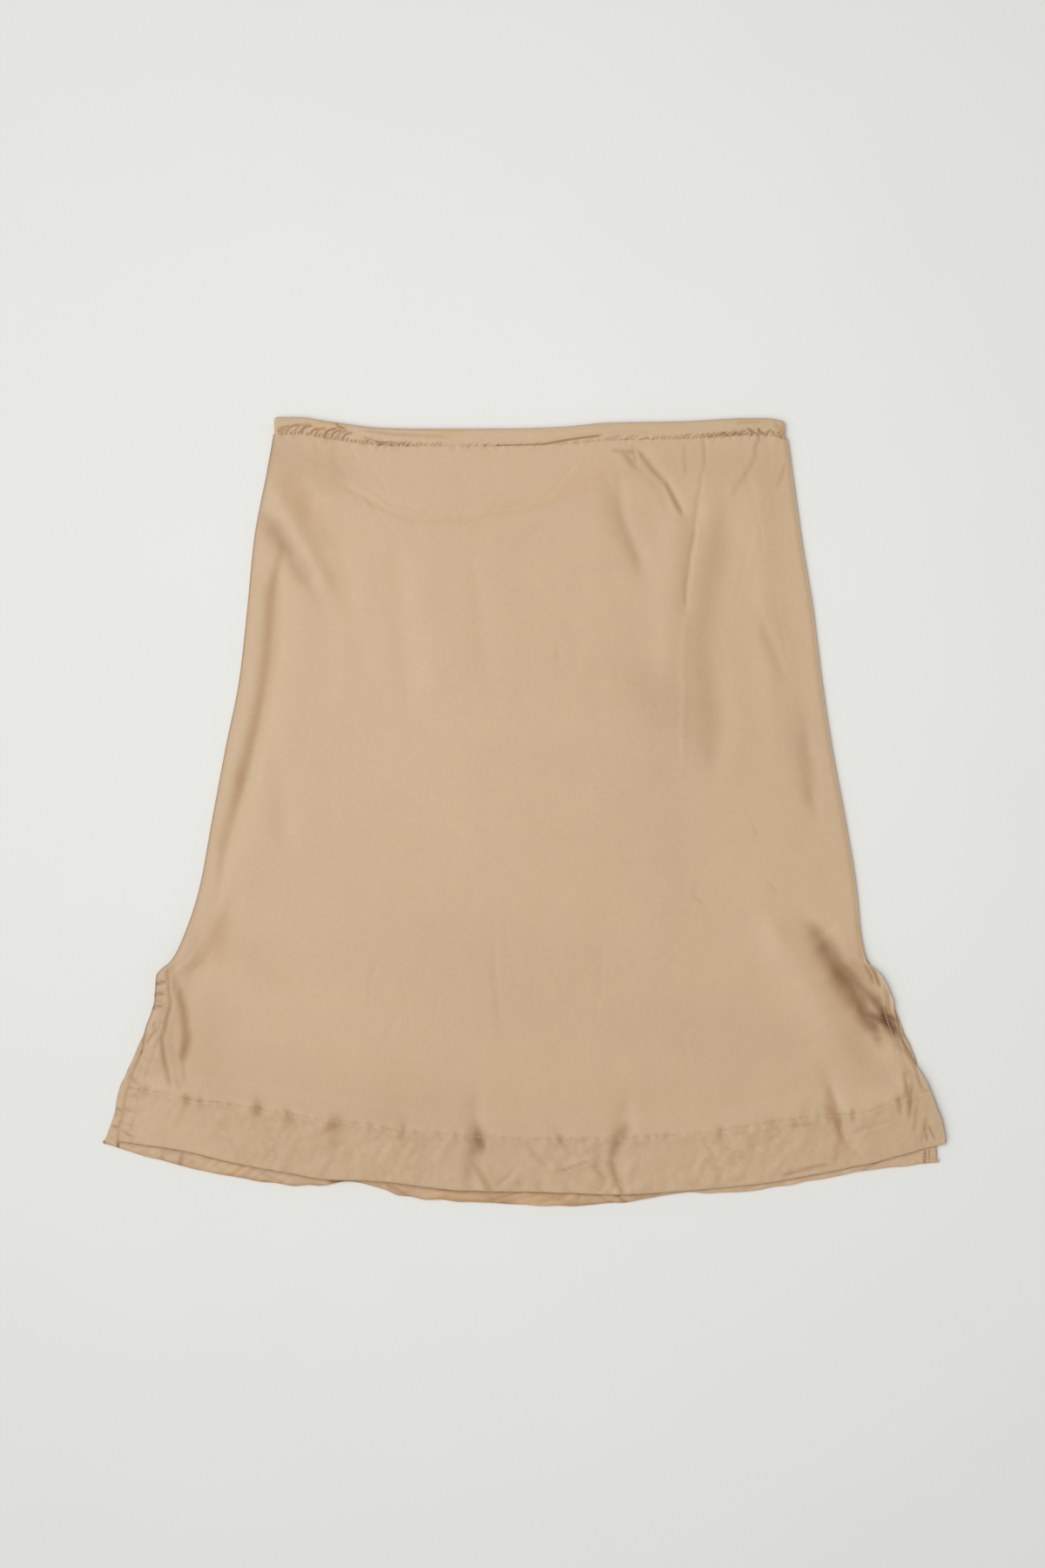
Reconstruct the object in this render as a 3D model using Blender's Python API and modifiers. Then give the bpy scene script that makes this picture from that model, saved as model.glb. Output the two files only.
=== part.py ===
"""A slip skirt in satin, laid flat on a surface with its front up.

The front and the back panel lie on each other and meet at the side seams, where the cloth turns over
in a soft roll. Below the slit tops the two are apart. Each panel has a deep hem, turned up inside in
one with it, and turned-in slit edges. The waist is a casing round elastic, gathered along its front.

The frame: X across the skirt, Y from the hem to the waist, Z up from the surface that it lies on,
with the origin in the middle of its outline. Every size below is in millimetres; `to_metres` is the
only place where they are turned into Blender's metres.
"""

from bisect import bisect_right
from math import cos, exp, hypot, pi, sin

import bpy

# ---------------------------------------------------------------- driving sizes
WALL = 1.0  # one layer of cloth
GAP = 0.3  # between pieces that are sewn to each other, and between layers that lie on each other
LAYER = WALL + GAP

HEM_DEPTH = 36.0  # from the hem's fold up to its stitched edge
HEM_RADIUS = 1.15  # outside of the fold at the hem
TURNING = 11.0  # width of a turned-in slit edge
SLIT_TOP = -108.6  # both slits end at this height on the page

CASING_DEPTH = 12.6  # waist casing, from its top fold to its stitched edge
CASING_BACK = (0.0, 3.0)  # lowest and highest point of its back half
CASING_FRONT = (3.3, 5.6)  # the same for its front half, without the gathers
CASING_SECTION = (
    # The gathers are deepest at the casing's stitched edge and fade towards its top fold.
    # down from the fold, share of the height, share of the gathers
    (CASING_DEPTH, 0.0, 0.0),
    (CASING_DEPTH, 0.8, 1.0),
    (CASING_DEPTH - 3.0, 1.0, 0.8),
    (CASING_DEPTH - 7.0, 1.0, 0.3),
    (1.0, 0.85, 0.0),
    (0.0, 0.5, 0.0),
    (0.6, 0.0, 0.0),
)
PLAIN_STATIONS = 48  # along the back of the casing, which has no gathers of its own
GATHERS = 66  # along the front of the casing
GATHER_HEIGHT = 0.6  # a gather stands so far above and below the mean
GATHER_ROWS = (
    # Rows of the panel below the casing, where its gathers run on.
    # below the casing, share of the gathers
    (0.0, 0.9),
    (5.0, 0.45),
)
GATHERS_END = 12.0

ROLL_WIDTH = 2.4  # the side roll is level so far in from its edge
ROLL_TOP = 4.3
SEAM_HEIGHT = 1.9  # the side seam runs at this height in the roll
ROLL_ENDS = 36.0  # above a slit, the roll flattens out over this length
BACK_ROLL_ENDS_ABOVE = 15.0  # the back's roll is flat this much higher up
AIR = 1.3  # under the front panel where nothing presses it down
AIR_OVER_TURNING = 0.35  # share of it that is left over a turned-in slit edge
WAIST_LEVEL = CASING_FRONT[1] - 0.5  # the front panel meets the casing at this height

TURNING_FADE = 26.0  # the turned-in edge lifts the panel as far in from the slit as this
HEM_FADE = 18.0  # and the turned-up hem as far above its stitched edge as this
ROLL_FADE = 19.0  # and the side roll as far in from the side as this
WAIST_FADE = 34.0  # and the casing as far down from it as this

FRONT_COLUMNS = 46  # between the edges
BACK_COLUMNS = 14
FRONT_ROWS = (18, 7)  # from the waist to the slit tops, and from there to the hem
BACK_ROWS = (8, 3)
ROLL_ROWS = (1.0, 0.67, 0.33)  # rows where the roll flattens out, as shares of ROLL_ENDS
HEM_ROWS = (1.0, 0.66, 0.33)  # rows of the turned-up hem, as shares of its depth
HEM_FOLD_STEPS = 4
SHARP_ANGLE = pi / 4

# ---------------------------------------------------------------- outline
SIDE_SEAMS = (
    # y,     left,   right
    (290.0, -180.0, 184.0),
    (272.4, -182.2, 189.7),
    (247.2, -186.6, 193.5),
    (196.7, -196.1, 200.5),
    (146.2, -201.1, 208.7),
    (95.7, -206.8, 215.0),
    (45.1, -216.9, 222.6),
    (-5.4, -226.4, 232.0),
    (-55.9, -235.8, 240.2),
    (-93.8, -248.5, 244.0),
    (-108.6, -256.4, 247.6),
)
FRONT_SLIT_EDGES = (
    # y,      left,   right
    (-113.3, -262.3, 252.9),
    (-119.0, -266.8, 258.7),
    (-135.4, -268.0, 266.1),
    (-156.3, -274.3, 270.3),
    (-177.7, -279.0, 279.8),
    (-195.0, -285.8, 290.4),
    (-217.5, -290.2, 299.6),
    (-229.5, -292.9, 303.2),
    (-245.0, -294.2, 305.0),
)
BACK_SLIT_EDGES = (
    # y,      left,   right
    (-113.3, -262.3, 252.9),
    (-119.0, -266.8, 258.7),
    (-135.4, -268.0, 266.1),
    (-156.3, -274.3, 273.0),
    (-177.7, -283.2, 282.6),
    (-200.5, -293.3, 287.6),
    (-220.0, -297.7, 292.0),
    (-241.5, -304.6, 297.4),
    (-256.0, -305.3, 299.4),
)
WAIST = (
    # x,      y
    (-182.0, 285.4),
    (-166.0, 285.4),
    (-140.0, 281.9),
    (-103.0, 277.5),
    (-77.0, 276.9),
    (-14.0, 277.0),
    (24.0, 278.1),
    (62.0, 281.3),
    (112.0, 282.2),
    (163.0, 284.6),
    (176.0, 284.4),
    (188.0, 282.4),
)
FRONT_HEM = (
    # x,      y
    (-295.0, -238.2),
    (-276.0, -240.9),
    (-248.0, -245.3),
    (-216.0, -252.9),
    (-166.0, -262.3),
    (-140.0, -266.1),
    (-115.0, -266.8),
    (-40.0, -274.3),
    (24.0, -275.6),
    (68.0, -276.9),
    (112.0, -274.3),
    (169.0, -269.3),
    (219.0, -260.4),
    (251.0, -254.1),
    (289.0, -244.0),
    (305.0, -240.0),
)
BACK_HEM = (
    # x,      y
    (-305.0, -240.9),
    (-279.0, -248.5),
    (-241.0, -258.6),
    (-216.0, -264.2),
    (-153.0, -271.2),
    (-128.0, -267.6),
    (-103.0, -273.1),
    (-90.0, -278.6),
    (-52.0, -281.9),
    (24.0, -285.6),
    (74.0, -282.5),
    (112.0, -276.4),
    (150.0, -275.6),
    (200.0, -268.7),
    (251.0, -259.8),
    (300.0, -254.1),
)

# ---------------------------------------------------------------- folds of the front panel
FRONT_FOLDS = (
    # A fold runs along a bowed line; a positive height is a ridge and a negative one a trough.
    # name,                    x0,     y0,     x1,     y1,   bow, half width, height
    ("hip trough, upper", -163.5, 228.0, -134.0, 168.0, 0.0, 10.0, -1.2),
    ("hip ridge", -175.0, 222.0, -147.0, 170.0, 0.0, 6.0, 0.8),
    ("hip trough, lower", -182.0, 206.0, -158.0, 170.0, 0.0, 8.0, -1.2),
    ("left side streak", -180.0, 158.8, -214.0, -22.4, -6.5, 7.0, -1.2),
    ("ridge by the streak", -162.0, 150.0, -196.0, -30.0, -7.0, 12.0, 0.5),
    ("soft trough, left", -91.9, 179.6, -85.6, 95.7, 0.0, 11.0, -0.8),
    ("soft trough, middle", -35.0, 175.8, -26.8, 108.3, 0.0, 10.0, -0.8),
    ("soft trough, low left", -178.4, 28.1, -173.9, -5.4, 0.0, 10.0, -0.7),
    ("sagging fold, waist", -150.0, 240.0, 57.0, 236.5, 22.0, 7.0, -0.5),
    ("waist fold, right", 84.0, 257.9, 111.0, 221.0, 0.0, 7.0, -0.9),
    ("soft trough, right", 66.0, 228.0, 82.4, 190.0, 2.0, 9.0, -0.9),
    ("long crease, right", 125.0, 215.0, 116.5, 150.0, 1.0, 7.0, -0.9),
    ("ridge by the crease", 110.0, 205.0, 104.0, 120.0, 2.0, 10.0, 0.6),
    ("broad hollow, right", 144.0, 188.5, 139.5, 66.0, 8.0, 14.0, -1.2),
    ("ridge to the right hip", 170.0, 220.0, 178.0, 90.0, 0.0, 11.0, 0.8),
    ("trough above right slit", 212.0, -90.0, 252.0, -146.0, 0.0, 11.0, -1.9),
    ("ridge inside it", 188.0, -98.0, 226.0, -160.0, 0.0, 13.0, 1.0),
    ("trough above left slit", -216.3, -81.1, -231.0, -112.0, 0.0, 11.0, -1.2),
    ("hem fold, left of middle", -34.0, -226.0, -37.0, -268.0, 0.0, 8.0, -0.9),
    ("hem fold, right of middle", 71.0, -228.0, 63.5, -268.0, 0.0, 8.0, -0.9),
    ("hem fold, right", 222.0, -204.0, 231.0, -244.0, 0.0, 8.0, -0.9),
)

GATHER_STRENGTH = (
    # Along the waist from left to right: how deep the gathers are, and how close.
    # across, strength
    (0.0, 0.55),
    (0.15, 1.0),
    (0.25, 0.75),
    (0.5, 0.7),
    (0.68, 0.9),
    (0.8, 0.7),
    (0.93, 1.0),
    (1.0, 0.6),
)

SATIN = (0.578, 0.413, 0.270)  # linear colours
SATIN_INSIDE = (0.540, 0.384, 0.250)


# ---------------------------------------------------------------- curves and shares
def smooth_curve(points):
    """A function through (place, value) points: cubic between them, and never past their values."""
    places = [place for place, _ in points]
    values = [value for _, value in points]
    spans = [b - a for a, b in zip(places, places[1:])]
    slopes = [(b - a) / span for a, b, span in zip(values, values[1:], spans)]
    turning = [2 * a * b / (a + b) if a * b > 0 else 0.0 for a, b in zip(slopes, slopes[1:])]
    tangents = [slopes[0], *turning, slopes[-1]]

    def curve(place):
        place = min(max(place, places[0]), places[-1])
        i = min(bisect_right(places, place) - 1, len(spans) - 1)
        t = (place - places[i]) / spans[i]
        ends = (1 + 2 * t) * (1 - t) ** 2 * values[i] + (3 - 2 * t) * t**2 * values[i + 1]
        pulls = t * (1 - t) ** 2 * tangents[i] - (1 - t) * t**2 * tangents[i + 1]
        return ends + pulls * spans[i]

    return curve


def mix(a, b, share):
    return a + (b - a) * share


def falling(distance, full, none):
    """1 up to the distance `full`, and 0 from `none` on, with a soft slope between."""
    share = min(max((distance - full) / (none - full), 0.0), 1.0)
    return 1 - share * share * (3 - 2 * share)


waist_line = smooth_curve(WAIST)
gather_strength = smooth_curve(GATHER_STRENGTH)


def casing_edge(x):
    """Where the panels start, just below the casing's stitched edge."""
    return waist_line(x) - CASING_DEPTH - GAP


class Panel:
    """What the front and the back panel differ in."""

    def __init__(self, slit_edges, hem, middle_columns, rows, roll_ends_above, seam, inwards):
        sides = sorted(SIDE_SEAMS + slit_edges)
        self.left = smooth_curve([(y, left) for y, left, _ in sides])
        self.right = smooth_curve([(y, right) for y, _, right in sides])
        self.hem = smooth_curve(hem)
        self.middle_columns = middle_columns
        self.columns = middle_columns + 2 * EDGE_STEPS
        self.rows_above_slit, self.rows_below_slit = rows
        self.roll_ends_above = roll_ends_above
        self.seam = seam
        self.inwards = inwards  # +1 where its inner side faces up, -1 where it faces down


# ---------------------------------------------------------------- the side roll
ROLL_STEPS = (
    # From the seam inwards: place in the roll, and place in from the edge where it lies flat.
    # in,                           risen,        flat
    (0.0, 0.0, 0.0),
    (0.0, 0.2, 0.8),
    (ROLL_WIDTH * (1 - cos(pi / 6)), 0.2 + 0.8 * sin(pi / 6), 2.0),
    (ROLL_WIDTH * (1 - cos(pi / 3)), 0.2 + 0.8 * sin(pi / 3), 4.0),
    (ROLL_WIDTH, 1.0, 6.5),
)
PANEL_STEPS = (TURNING + GAP, ROLL_FADE)  # more columns in from each edge, past the roll
EDGE_STEPS = len(ROLL_STEPS) + len(PANEL_STEPS)


def roll_share(y, ends_above=0.0):
    """1 where the sides are rolled, down to 0 so far above the slit tops."""
    return 1 - falling(y - SLIT_TOP - ends_above, 0.0, ROLL_ENDS)


def row_across(panel, y):
    """The x of every column at the height y, from the left edge to the right."""
    left, right = panel.left(y), panel.right(y)
    share = roll_share(y, panel.roll_ends_above)
    insets = [mix(flat, rolled, share) for rolled, _, flat in ROLL_STEPS] + list(PANEL_STEPS)
    first, last = left + insets[-1], right - insets[-1]
    step = (last - first) / (panel.middle_columns + 1)
    middle = [first + step * (i + 1) for i in range(panel.middle_columns)]
    return [left + inset for inset in insets] + middle + [right - inset for inset in reversed(insets)]


def heights_on(panel, line):
    """The height on the page at which each column meets a line across the skirt, such as a hem."""
    heights = [line(0.0)] * panel.columns
    for _ in range(6):
        heights = [line(row_across(panel, y)[i]) for i, y in enumerate(heights)]
    return heights


# ---------------------------------------------------------------- the two panels
FRONT = Panel(
    FRONT_SLIT_EDGES, FRONT_HEM, FRONT_COLUMNS, FRONT_ROWS, 0.0, SEAM_HEIGHT + GAP / 2, -1
)
BACK = Panel(
    BACK_SLIT_EDGES,
    BACK_HEM,
    BACK_COLUMNS,
    BACK_ROWS,
    BACK_ROLL_ENDS_ABOVE,
    SEAM_HEIGHT - GAP / 2,
    1,
)


# ---------------------------------------------------------------- heights
def fold_height(x, y):
    """What the folds add to the front panel at (x, y)."""
    total = 0.0
    for _, x0, y0, x1, y1, bow, half_width, height in FRONT_FOLDS:
        length = hypot(x1 - x0, y1 - y0)
        along_x, along_y = (x1 - x0) / length, (y1 - y0) / length
        along = (x - x0) * along_x + (y - y0) * along_y
        beside = (x - x0) * along_y - (y - y0) * along_x
        share = along / length
        beside -= bow * sin(pi * min(max(share, 0.0), 1.0))
        past_end = max(-along, along - length, 0.0)
        total += height * exp(-((beside / half_width) ** 2) - (past_end / (1.5 * half_width)) ** 2)
    return total


def gather_wave(across):
    """The gathers along the waist, from -1 to 1 times their strength, uneven in their spacing."""
    drift = 0.45 * sin(2 * pi * (2.3 * across + 0.1)) + 0.25 * sin(2 * pi * (7.1 * across + 0.4))
    return gather_strength(across) * sin(2 * pi * (GATHERS * across + drift))


def front_height(x, y, to_edge, to_hem, to_waist):
    """The outer side of the front panel, away from its rolled edges."""
    rolled = roll_share(y)
    over_turning = (1 - rolled) * falling(to_edge, TURNING + GAP, TURNING_FADE)
    over_hem = falling(to_hem, HEM_DEPTH, HEM_DEPTH + HEM_FADE)
    layers = 1 - (1 - over_turning) * (1 - over_hem)
    lying = WALL + LAYER + 2 * LAYER * layers
    side = (ROLL_TOP - lying - AIR) * rolled * falling(to_edge, ROLL_WIDTH, ROLL_FADE)
    at_waist = (WAIST_LEVEL - lying - AIR) * falling(to_waist, 0.0, WAIST_FADE)
    air = AIR * mix(1.0, AIR_OVER_TURNING, over_turning)
    return lying + max(0.0, air + fold_height(x, y) * (1 - over_turning)) + max(side, at_waist)


# ---------------------------------------------------------------- panels as grids of points
def row_heights(panel, top, hem):
    """For one column: the height on the page of each of its rows, from the casing to the hem's fold."""
    hem_line = hem + HEM_DEPTH
    above, below = panel.rows_above_slit, panel.rows_below_slit
    heights = [top - down for down, _ in GATHER_ROWS]
    roll_line = SLIT_TOP + ROLL_ENDS
    heights += [mix(top - GATHERS_END, roll_line, i / above) for i in range(above)]
    heights += [SLIT_TOP + ROLL_ENDS * share for share in ROLL_ROWS]
    heights += [mix(SLIT_TOP, hem_line, i / below) for i in range(below)]
    heights += [hem + HEM_DEPTH * share for share in HEM_ROWS]
    return heights + [hem + HEM_RADIUS]


def outer_side(panel, height_at):
    """The panel's outer side as rows of points, from the casing down to the hem's fold."""
    tops = heights_on(panel, casing_edge)
    hems = heights_on(panel, panel.hem)
    places = [row_heights(panel, top, hem) for top, hem in zip(tops, hems)]
    for i in (*range(len(ROLL_STEPS)), *range(panel.columns - len(ROLL_STEPS), panel.columns)):
        places[i][-1] = hems[i]  # over a turned-in slit edge, the panel ends without a fold
    rows = []
    for row in range(len(places[0])):
        points = []
        for i, (top, hem) in enumerate(zip(tops, hems)):
            y = places[i][row]
            xs = row_across(panel, y)
            to_edge = min(xs[i] - xs[0], xs[-1] - xs[i])
            points.append((xs[i], y, height_at(xs[i], y, to_edge, y - hem, top - y)))
        rows.append(points)
    return rows


def roll_edges(panel, rows, level):
    """Bends the edge columns of each row round the side roll, between the seam and `level`."""
    for points in rows:
        for step, (_, risen, _) in enumerate(ROLL_STEPS):
            for i in (step, len(points) - 1 - step):
                x, y, z = points[i]
                share = roll_share(y, panel.roll_ends_above)
                points[i] = (x, y, mix(z, mix(panel.seam, level, risen), share))


def hem_fold(panel, last_row):
    """The rows round the hem's fold, below the last row of the outer side."""
    rows = []
    for step in range(1, HEM_FOLD_STEPS + 1):
        turn = pi * step / HEM_FOLD_STEPS
        out, rise = HEM_RADIUS * sin(turn), HEM_RADIUS * (1 - cos(turn))
        rows.append([(x, y - out, z + panel.inwards * rise) for x, y, z in last_row])
    return rows


def turned_up(panel, outer):
    """The turned-up part of the hem: the rows above the hem's fold, moved inside the panel."""
    rise = panel.inwards * 2 * HEM_RADIUS
    return [[(x, y, z + rise) for x, y, z in row] for row in outer[-2 : -2 - len(HEM_ROWS) : -1]]


def gathered(row, depth):
    """A row of the front panel with a ridge and a trough for each gather, between its rolled edges."""
    edge = len(ROLL_STEPS)
    middle = row[edge - 1 : len(row) - edge + 1]
    height = smooth_curve([(x, z) for x, _, z in middle])
    place = smooth_curve([(x, y) for x, y, _ in middle])
    left, right = row[0][0], row[-1][0]
    waves = []
    for i in range(2 * GATHERS):
        across = (i + 0.5) / (2 * GATHERS)
        x = mix(left, right, across)
        if middle[0][0] < x < middle[-1][0]:
            waves.append((x, place(x), height(x) + depth * gather_wave(across)))
    return row[:edge] + waves + row[len(row) - edge :]


# ---------------------------------------------------------------- objects
def to_metres(point):
    return tuple(size * 0.001 for size in point)


def satin(name, colour):
    material = bpy.data.materials.new(name)
    material.use_nodes = True
    surface = material.node_tree.nodes["Principled BSDF"]
    surface.inputs["Base Color"].default_value = (*colour, 1.0)
    surface.inputs["Roughness"].default_value = 0.42
    surface.inputs["Metallic"].default_value = 0.0
    surface.inputs["Sheen Weight"].default_value = 0.25
    material.diffuse_color = (*colour, 1.0)
    return material


def add_object(name, points, faces, material, collection):
    mesh = bpy.data.meshes.new(name)
    mesh.from_pydata([to_metres(point) for point in points], [], faces)
    mesh.validate()
    mesh.shade_smooth()
    mesh.set_sharp_from_angle(angle=SHARP_ANGLE)
    piece = bpy.data.objects.new(name, mesh)
    piece.data.materials.append(material)
    collection.objects.link(piece)
    return piece


def thicken(piece):
    """Makes a closed wall of an open surface, inwards from the cloth's outer side."""
    wall = piece.modifiers.new("wall", "SOLIDIFY")
    wall.thickness = WALL * 0.001
    wall.offset = -1.0
    wall.use_even_offset = True
    wall.use_quality_normals = True


def strip_faces(upper, lower):
    """Triangles between two rows of (x, index), which may differ in their number of points."""
    faces = []
    a, b = 0, 0
    while a + 1 < len(upper) or b + 1 < len(lower):
        lower_next = a + 1 == len(upper) or (
            b + 1 < len(lower) and lower[b + 1][0] + lower[b][0] <= upper[a + 1][0] + upper[a][0]
        )
        if lower_next:
            faces.append((upper[a][1], lower[b][1], lower[b + 1][1]))
            b += 1
        else:
            faces.append((upper[a][1], lower[b][1], upper[a + 1][1]))
            a += 1
    return faces


def surface(rows, facing_up):
    """Points and faces of a surface through rows of points, each from left to right."""
    points = [point for row in rows for point in row]
    faces = []
    start = 0
    for upper, lower in zip(rows, rows[1:]):
        middle = start + len(upper)
        if len(upper) == len(lower):
            for i in range(len(upper) - 1):
                faces.append((start + i, middle + i, middle + i + 1, start + i + 1))
        else:
            faces += strip_faces(
                [(point[0], start + i) for i, point in enumerate(upper)],
                [(point[0], middle + i) for i, point in enumerate(lower)],
            )
        start = middle
    return points, faces if facing_up else [face[::-1] for face in faces]


def without_columns(points, faces, over_turning):
    """Leaves out the faces that touch a point in `over_turning`, and the points that no face uses."""
    faces = [face for face in faces if not over_turning.intersection(face)]
    used = sorted({i for face in faces for i in face})
    renumbered = {old: new for new, old in enumerate(used)}
    return [points[i] for i in used], [tuple(renumbered[i] for i in face) for face in faces]


def add_panel(name, panel, outer, material, collection):
    """A panel: its outer side, the hem's fold and the turned-up part, as one wall."""
    inner = hem_fold(panel, outer[-1]) + turned_up(panel, outer)
    points, faces = surface(outer + inner, panel.inwards < 0)
    first_inner = sum(len(row) for row in outer)
    width, edge = panel.columns, len(ROLL_STEPS)
    over_turning = set()
    for i in range(first_inner, len(points)):
        column = (i - first_inner) % width
        if not edge <= column < width - edge:
            over_turning.add(i)
    points, faces = without_columns(points, faces, over_turning)
    thicken(add_object(name, points, faces, material, collection))


def add_slit_turning(name, panel, outer, left, material, collection):
    """A turned-in slit edge: the panel's points along the slit, moved to its inner side."""
    slit_rows = outer[len(GATHER_ROWS) + panel.rows_above_slit + len(ROLL_ROWS) :]
    rise = panel.inwards * (2 * WALL + GAP)
    rows = []
    for row in slit_rows:
        row = row if left else row[::-1]
        side = 1 if left else -1
        (x0, y0, z0), (x1, y1, z1), (x2, y2, z2) = row[1], row[3], row[len(ROLL_STEPS)]
        points = [(x0, y0, z0 + rise), (x1, y1, z1 + rise), (x2 - side * GAP, y2, z2 + rise)]
        rows.append(points if left else points[::-1])
    rows[0] = [(x, y - GAP, z) for x, y, z in rows[0]]
    points, faces = surface(rows, panel.inwards > 0)
    thicken(add_object(name, points, faces, material, collection))


def add_casing(name, levels, is_gathered, material, collection):
    """Half of the waist casing: a flat band under the waist's fold, gathered on its outer side."""
    low, high = levels
    stations = 4 * GATHERS if is_gathered else PLAIN_STATIONS
    middle = WAIST[0][1] - CASING_DEPTH / 2
    left, right = FRONT.left(middle), FRONT.right(middle)
    rings = []
    for station in range(stations + 1):
        across = station / stations
        x = mix(left, right, across)
        top = waist_line(x)
        wave = gather_wave(across) * GATHER_HEIGHT if is_gathered else 0.0
        rings.append(
            [
                (x, top - down, mix(low, high, rise) + wave * share)
                for down, rise, share in CASING_SECTION
            ]
        )
    size = len(CASING_SECTION)
    faces = [tuple(range(size)), tuple(range(stations * size, (stations + 1) * size))[::-1]]
    for station in range(stations):
        for i in range(size):
            a, b = station * size + i, station * size + (i + 1) % size
            faces.append((a, a + size, b + size, b))
    add_object(name, [point for ring in rings for point in ring], faces, material, collection)


# ---------------------------------------------------------------- the skirt
def clear_scene():
    for leftover in list(bpy.data.objects):
        bpy.data.objects.remove(leftover, do_unlink=True)


def main():
    clear_scene()
    skirt = bpy.data.collections.new("slip_skirt")
    bpy.context.scene.collection.children.link(skirt)
    outside = satin("satin", SATIN)
    inside = satin("satin_inside", SATIN_INSIDE)
    casing = satin("waist_casing", SATIN)

    front = outer_side(FRONT, front_height)
    roll_edges(FRONT, front, ROLL_TOP)
    back = outer_side(BACK, lambda *place: 0.0)
    roll_edges(BACK, back, 0.0)
    for side in ("left", "right"):
        is_left = side == "left"
        add_slit_turning("slit_turning_front_" + side, FRONT, front, is_left, inside, skirt)
        add_slit_turning("slit_turning_back_" + side, BACK, back, is_left, inside, skirt)
    gathered_rows = [
        gathered(row, GATHER_HEIGHT * share) for row, (_, share) in zip(front, GATHER_ROWS)
    ]
    plain_rows = front[len(GATHER_ROWS) :]
    add_panel("front_panel", FRONT, gathered_rows + plain_rows, outside, skirt)
    add_panel("back_panel", BACK, back, outside, skirt)

    add_casing("waist_casing_front", CASING_FRONT, True, casing, skirt)
    add_casing("waist_casing_back", CASING_BACK, False, casing, skirt)


main()
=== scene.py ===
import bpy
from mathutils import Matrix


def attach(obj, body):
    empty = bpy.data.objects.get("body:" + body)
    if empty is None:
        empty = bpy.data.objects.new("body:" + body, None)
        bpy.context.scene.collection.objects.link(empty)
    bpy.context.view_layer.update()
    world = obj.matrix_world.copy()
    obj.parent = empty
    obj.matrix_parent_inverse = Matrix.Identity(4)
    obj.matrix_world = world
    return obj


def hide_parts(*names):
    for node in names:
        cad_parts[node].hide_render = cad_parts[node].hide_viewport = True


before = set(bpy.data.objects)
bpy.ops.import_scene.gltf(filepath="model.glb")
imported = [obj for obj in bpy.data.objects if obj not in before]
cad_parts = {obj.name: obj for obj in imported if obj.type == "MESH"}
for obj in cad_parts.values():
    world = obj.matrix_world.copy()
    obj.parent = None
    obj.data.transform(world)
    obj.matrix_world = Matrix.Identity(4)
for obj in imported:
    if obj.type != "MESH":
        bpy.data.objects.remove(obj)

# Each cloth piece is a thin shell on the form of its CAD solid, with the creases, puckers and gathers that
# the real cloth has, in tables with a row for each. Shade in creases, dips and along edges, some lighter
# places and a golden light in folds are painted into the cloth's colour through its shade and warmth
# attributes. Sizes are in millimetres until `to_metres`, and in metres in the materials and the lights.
"""The looks of a satin slip skirt, laid flat with its front up and seen from straight above.

Each cloth piece is a thin shell on the form of its CAD solid, with the creases, puckers and gathers
that the real cloth has, in tables with a row for each. Sizes are in millimetres until `to_metres`, and
in metres in the materials and the lights.
"""

from math import pi

import bpy
import numpy as np
from mathutils import Vector

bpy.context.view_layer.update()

# ---------------------------------------------------------------- driving sizes
MM = 0.001
WALL = 1  # one layer of cloth, as in the CAD
GAP = 0.3  # between layers that lie on each other
LAYER = WALL + GAP

HEM_RADIUS = 1.15  # outside of the fold at the hem and at the turned-in slit edges
TURNING = 11  # width of a turned-in slit edge
SLIT_TOP = -108.6

CASING_DEPTH = 12.6  # waist casing, from its top fold to its stitched edge
CASING_BACK = (0, 3)  # lowest and highest point of its back half
CASING_FRONT = (3.3, 5.6)
SEAM_LINE = 0.05  # the casing and the panels meet along a seam this wide
CASING_CORNER = 2.6  # radius of its top corners

ROLL_WIDTH = 2.4  # of the rolls along the side seams, above the slits
ROLL_TOP = 4.3
SEAM_HEIGHT = 1.9
SEAM_STEP = 0.2  # the roll starts with an upright step, this share of its height
ROLL_ENDS = 36  # the roll flattens over this length above the slit tops
BACK_ROLL_ENDS_ABOVE = 15  # and the back panel's so much higher up
AIR = 1.8  # under the front panel where nothing presses it down
AIR_OVER_TURNING = 0.35
WAIST_LEVEL = CASING_FRONT[1] - 0.5

EDGE = 26  # the columns next to an edge keep their distance from it up to here
# How far from the slit edges, the hem's stitches, the side seams and the waist the front panel is level.
TURNING_FADE = 26
HEM_FADE = 18
ROLL_FADE = 19
WAIST_FADE = 34
HEM_SHADE = 0.045  # the hem and the slits' bands look this much darker than the rest
EDGE_SHADES = (0.36, -0.45)  # painted shade as a thin dark line along the left side, and painted light along the right one
INSIDE_SHADES = (0.07, 0.13)  # just inside the left and the right side
EDGE_SHADE_WIDTH = 1.3
EDGE_SHADE_ENDS = (176, 200)  # the edges' lines weaken between these levels below the middle
EDGE_SHADE_LEFT = 0.35  # to this share
DARKEST = 0.85

ROLL_POINTS = 9
EDGE_POINTS = 26
SHARP_ANGLE = pi / 4
COARSE = 3  # the inner side of a panel has a point for every third point of its outer side

STITCH_PITCH = 2.35
STITCH_LENGTH = 1.7
STITCH_WIDTH = 0.62
STITCH_HEIGHT = 0.22
STITCH_END_SHADE = 0.4  # a stitch's ends dive into the cloth
LINE_POINTS = 500  # of the lines that the hem's and the casing's stitches follow
SLIT_SEAMS = (
    # How far inside the slit edges their stitches run.
    # y, left, right
    (-111, 6, 4), (-125, 9, 8), (-146, 9.8, 7.5), (-166, 10.7, 5.6), (-179, 9.4, 6.6),
    (-189, 10.6, 7.8), (-205, 9.7, 10.3), (-220, 9, 10.7), (-245, 8.2, 10.7),
)

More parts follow.
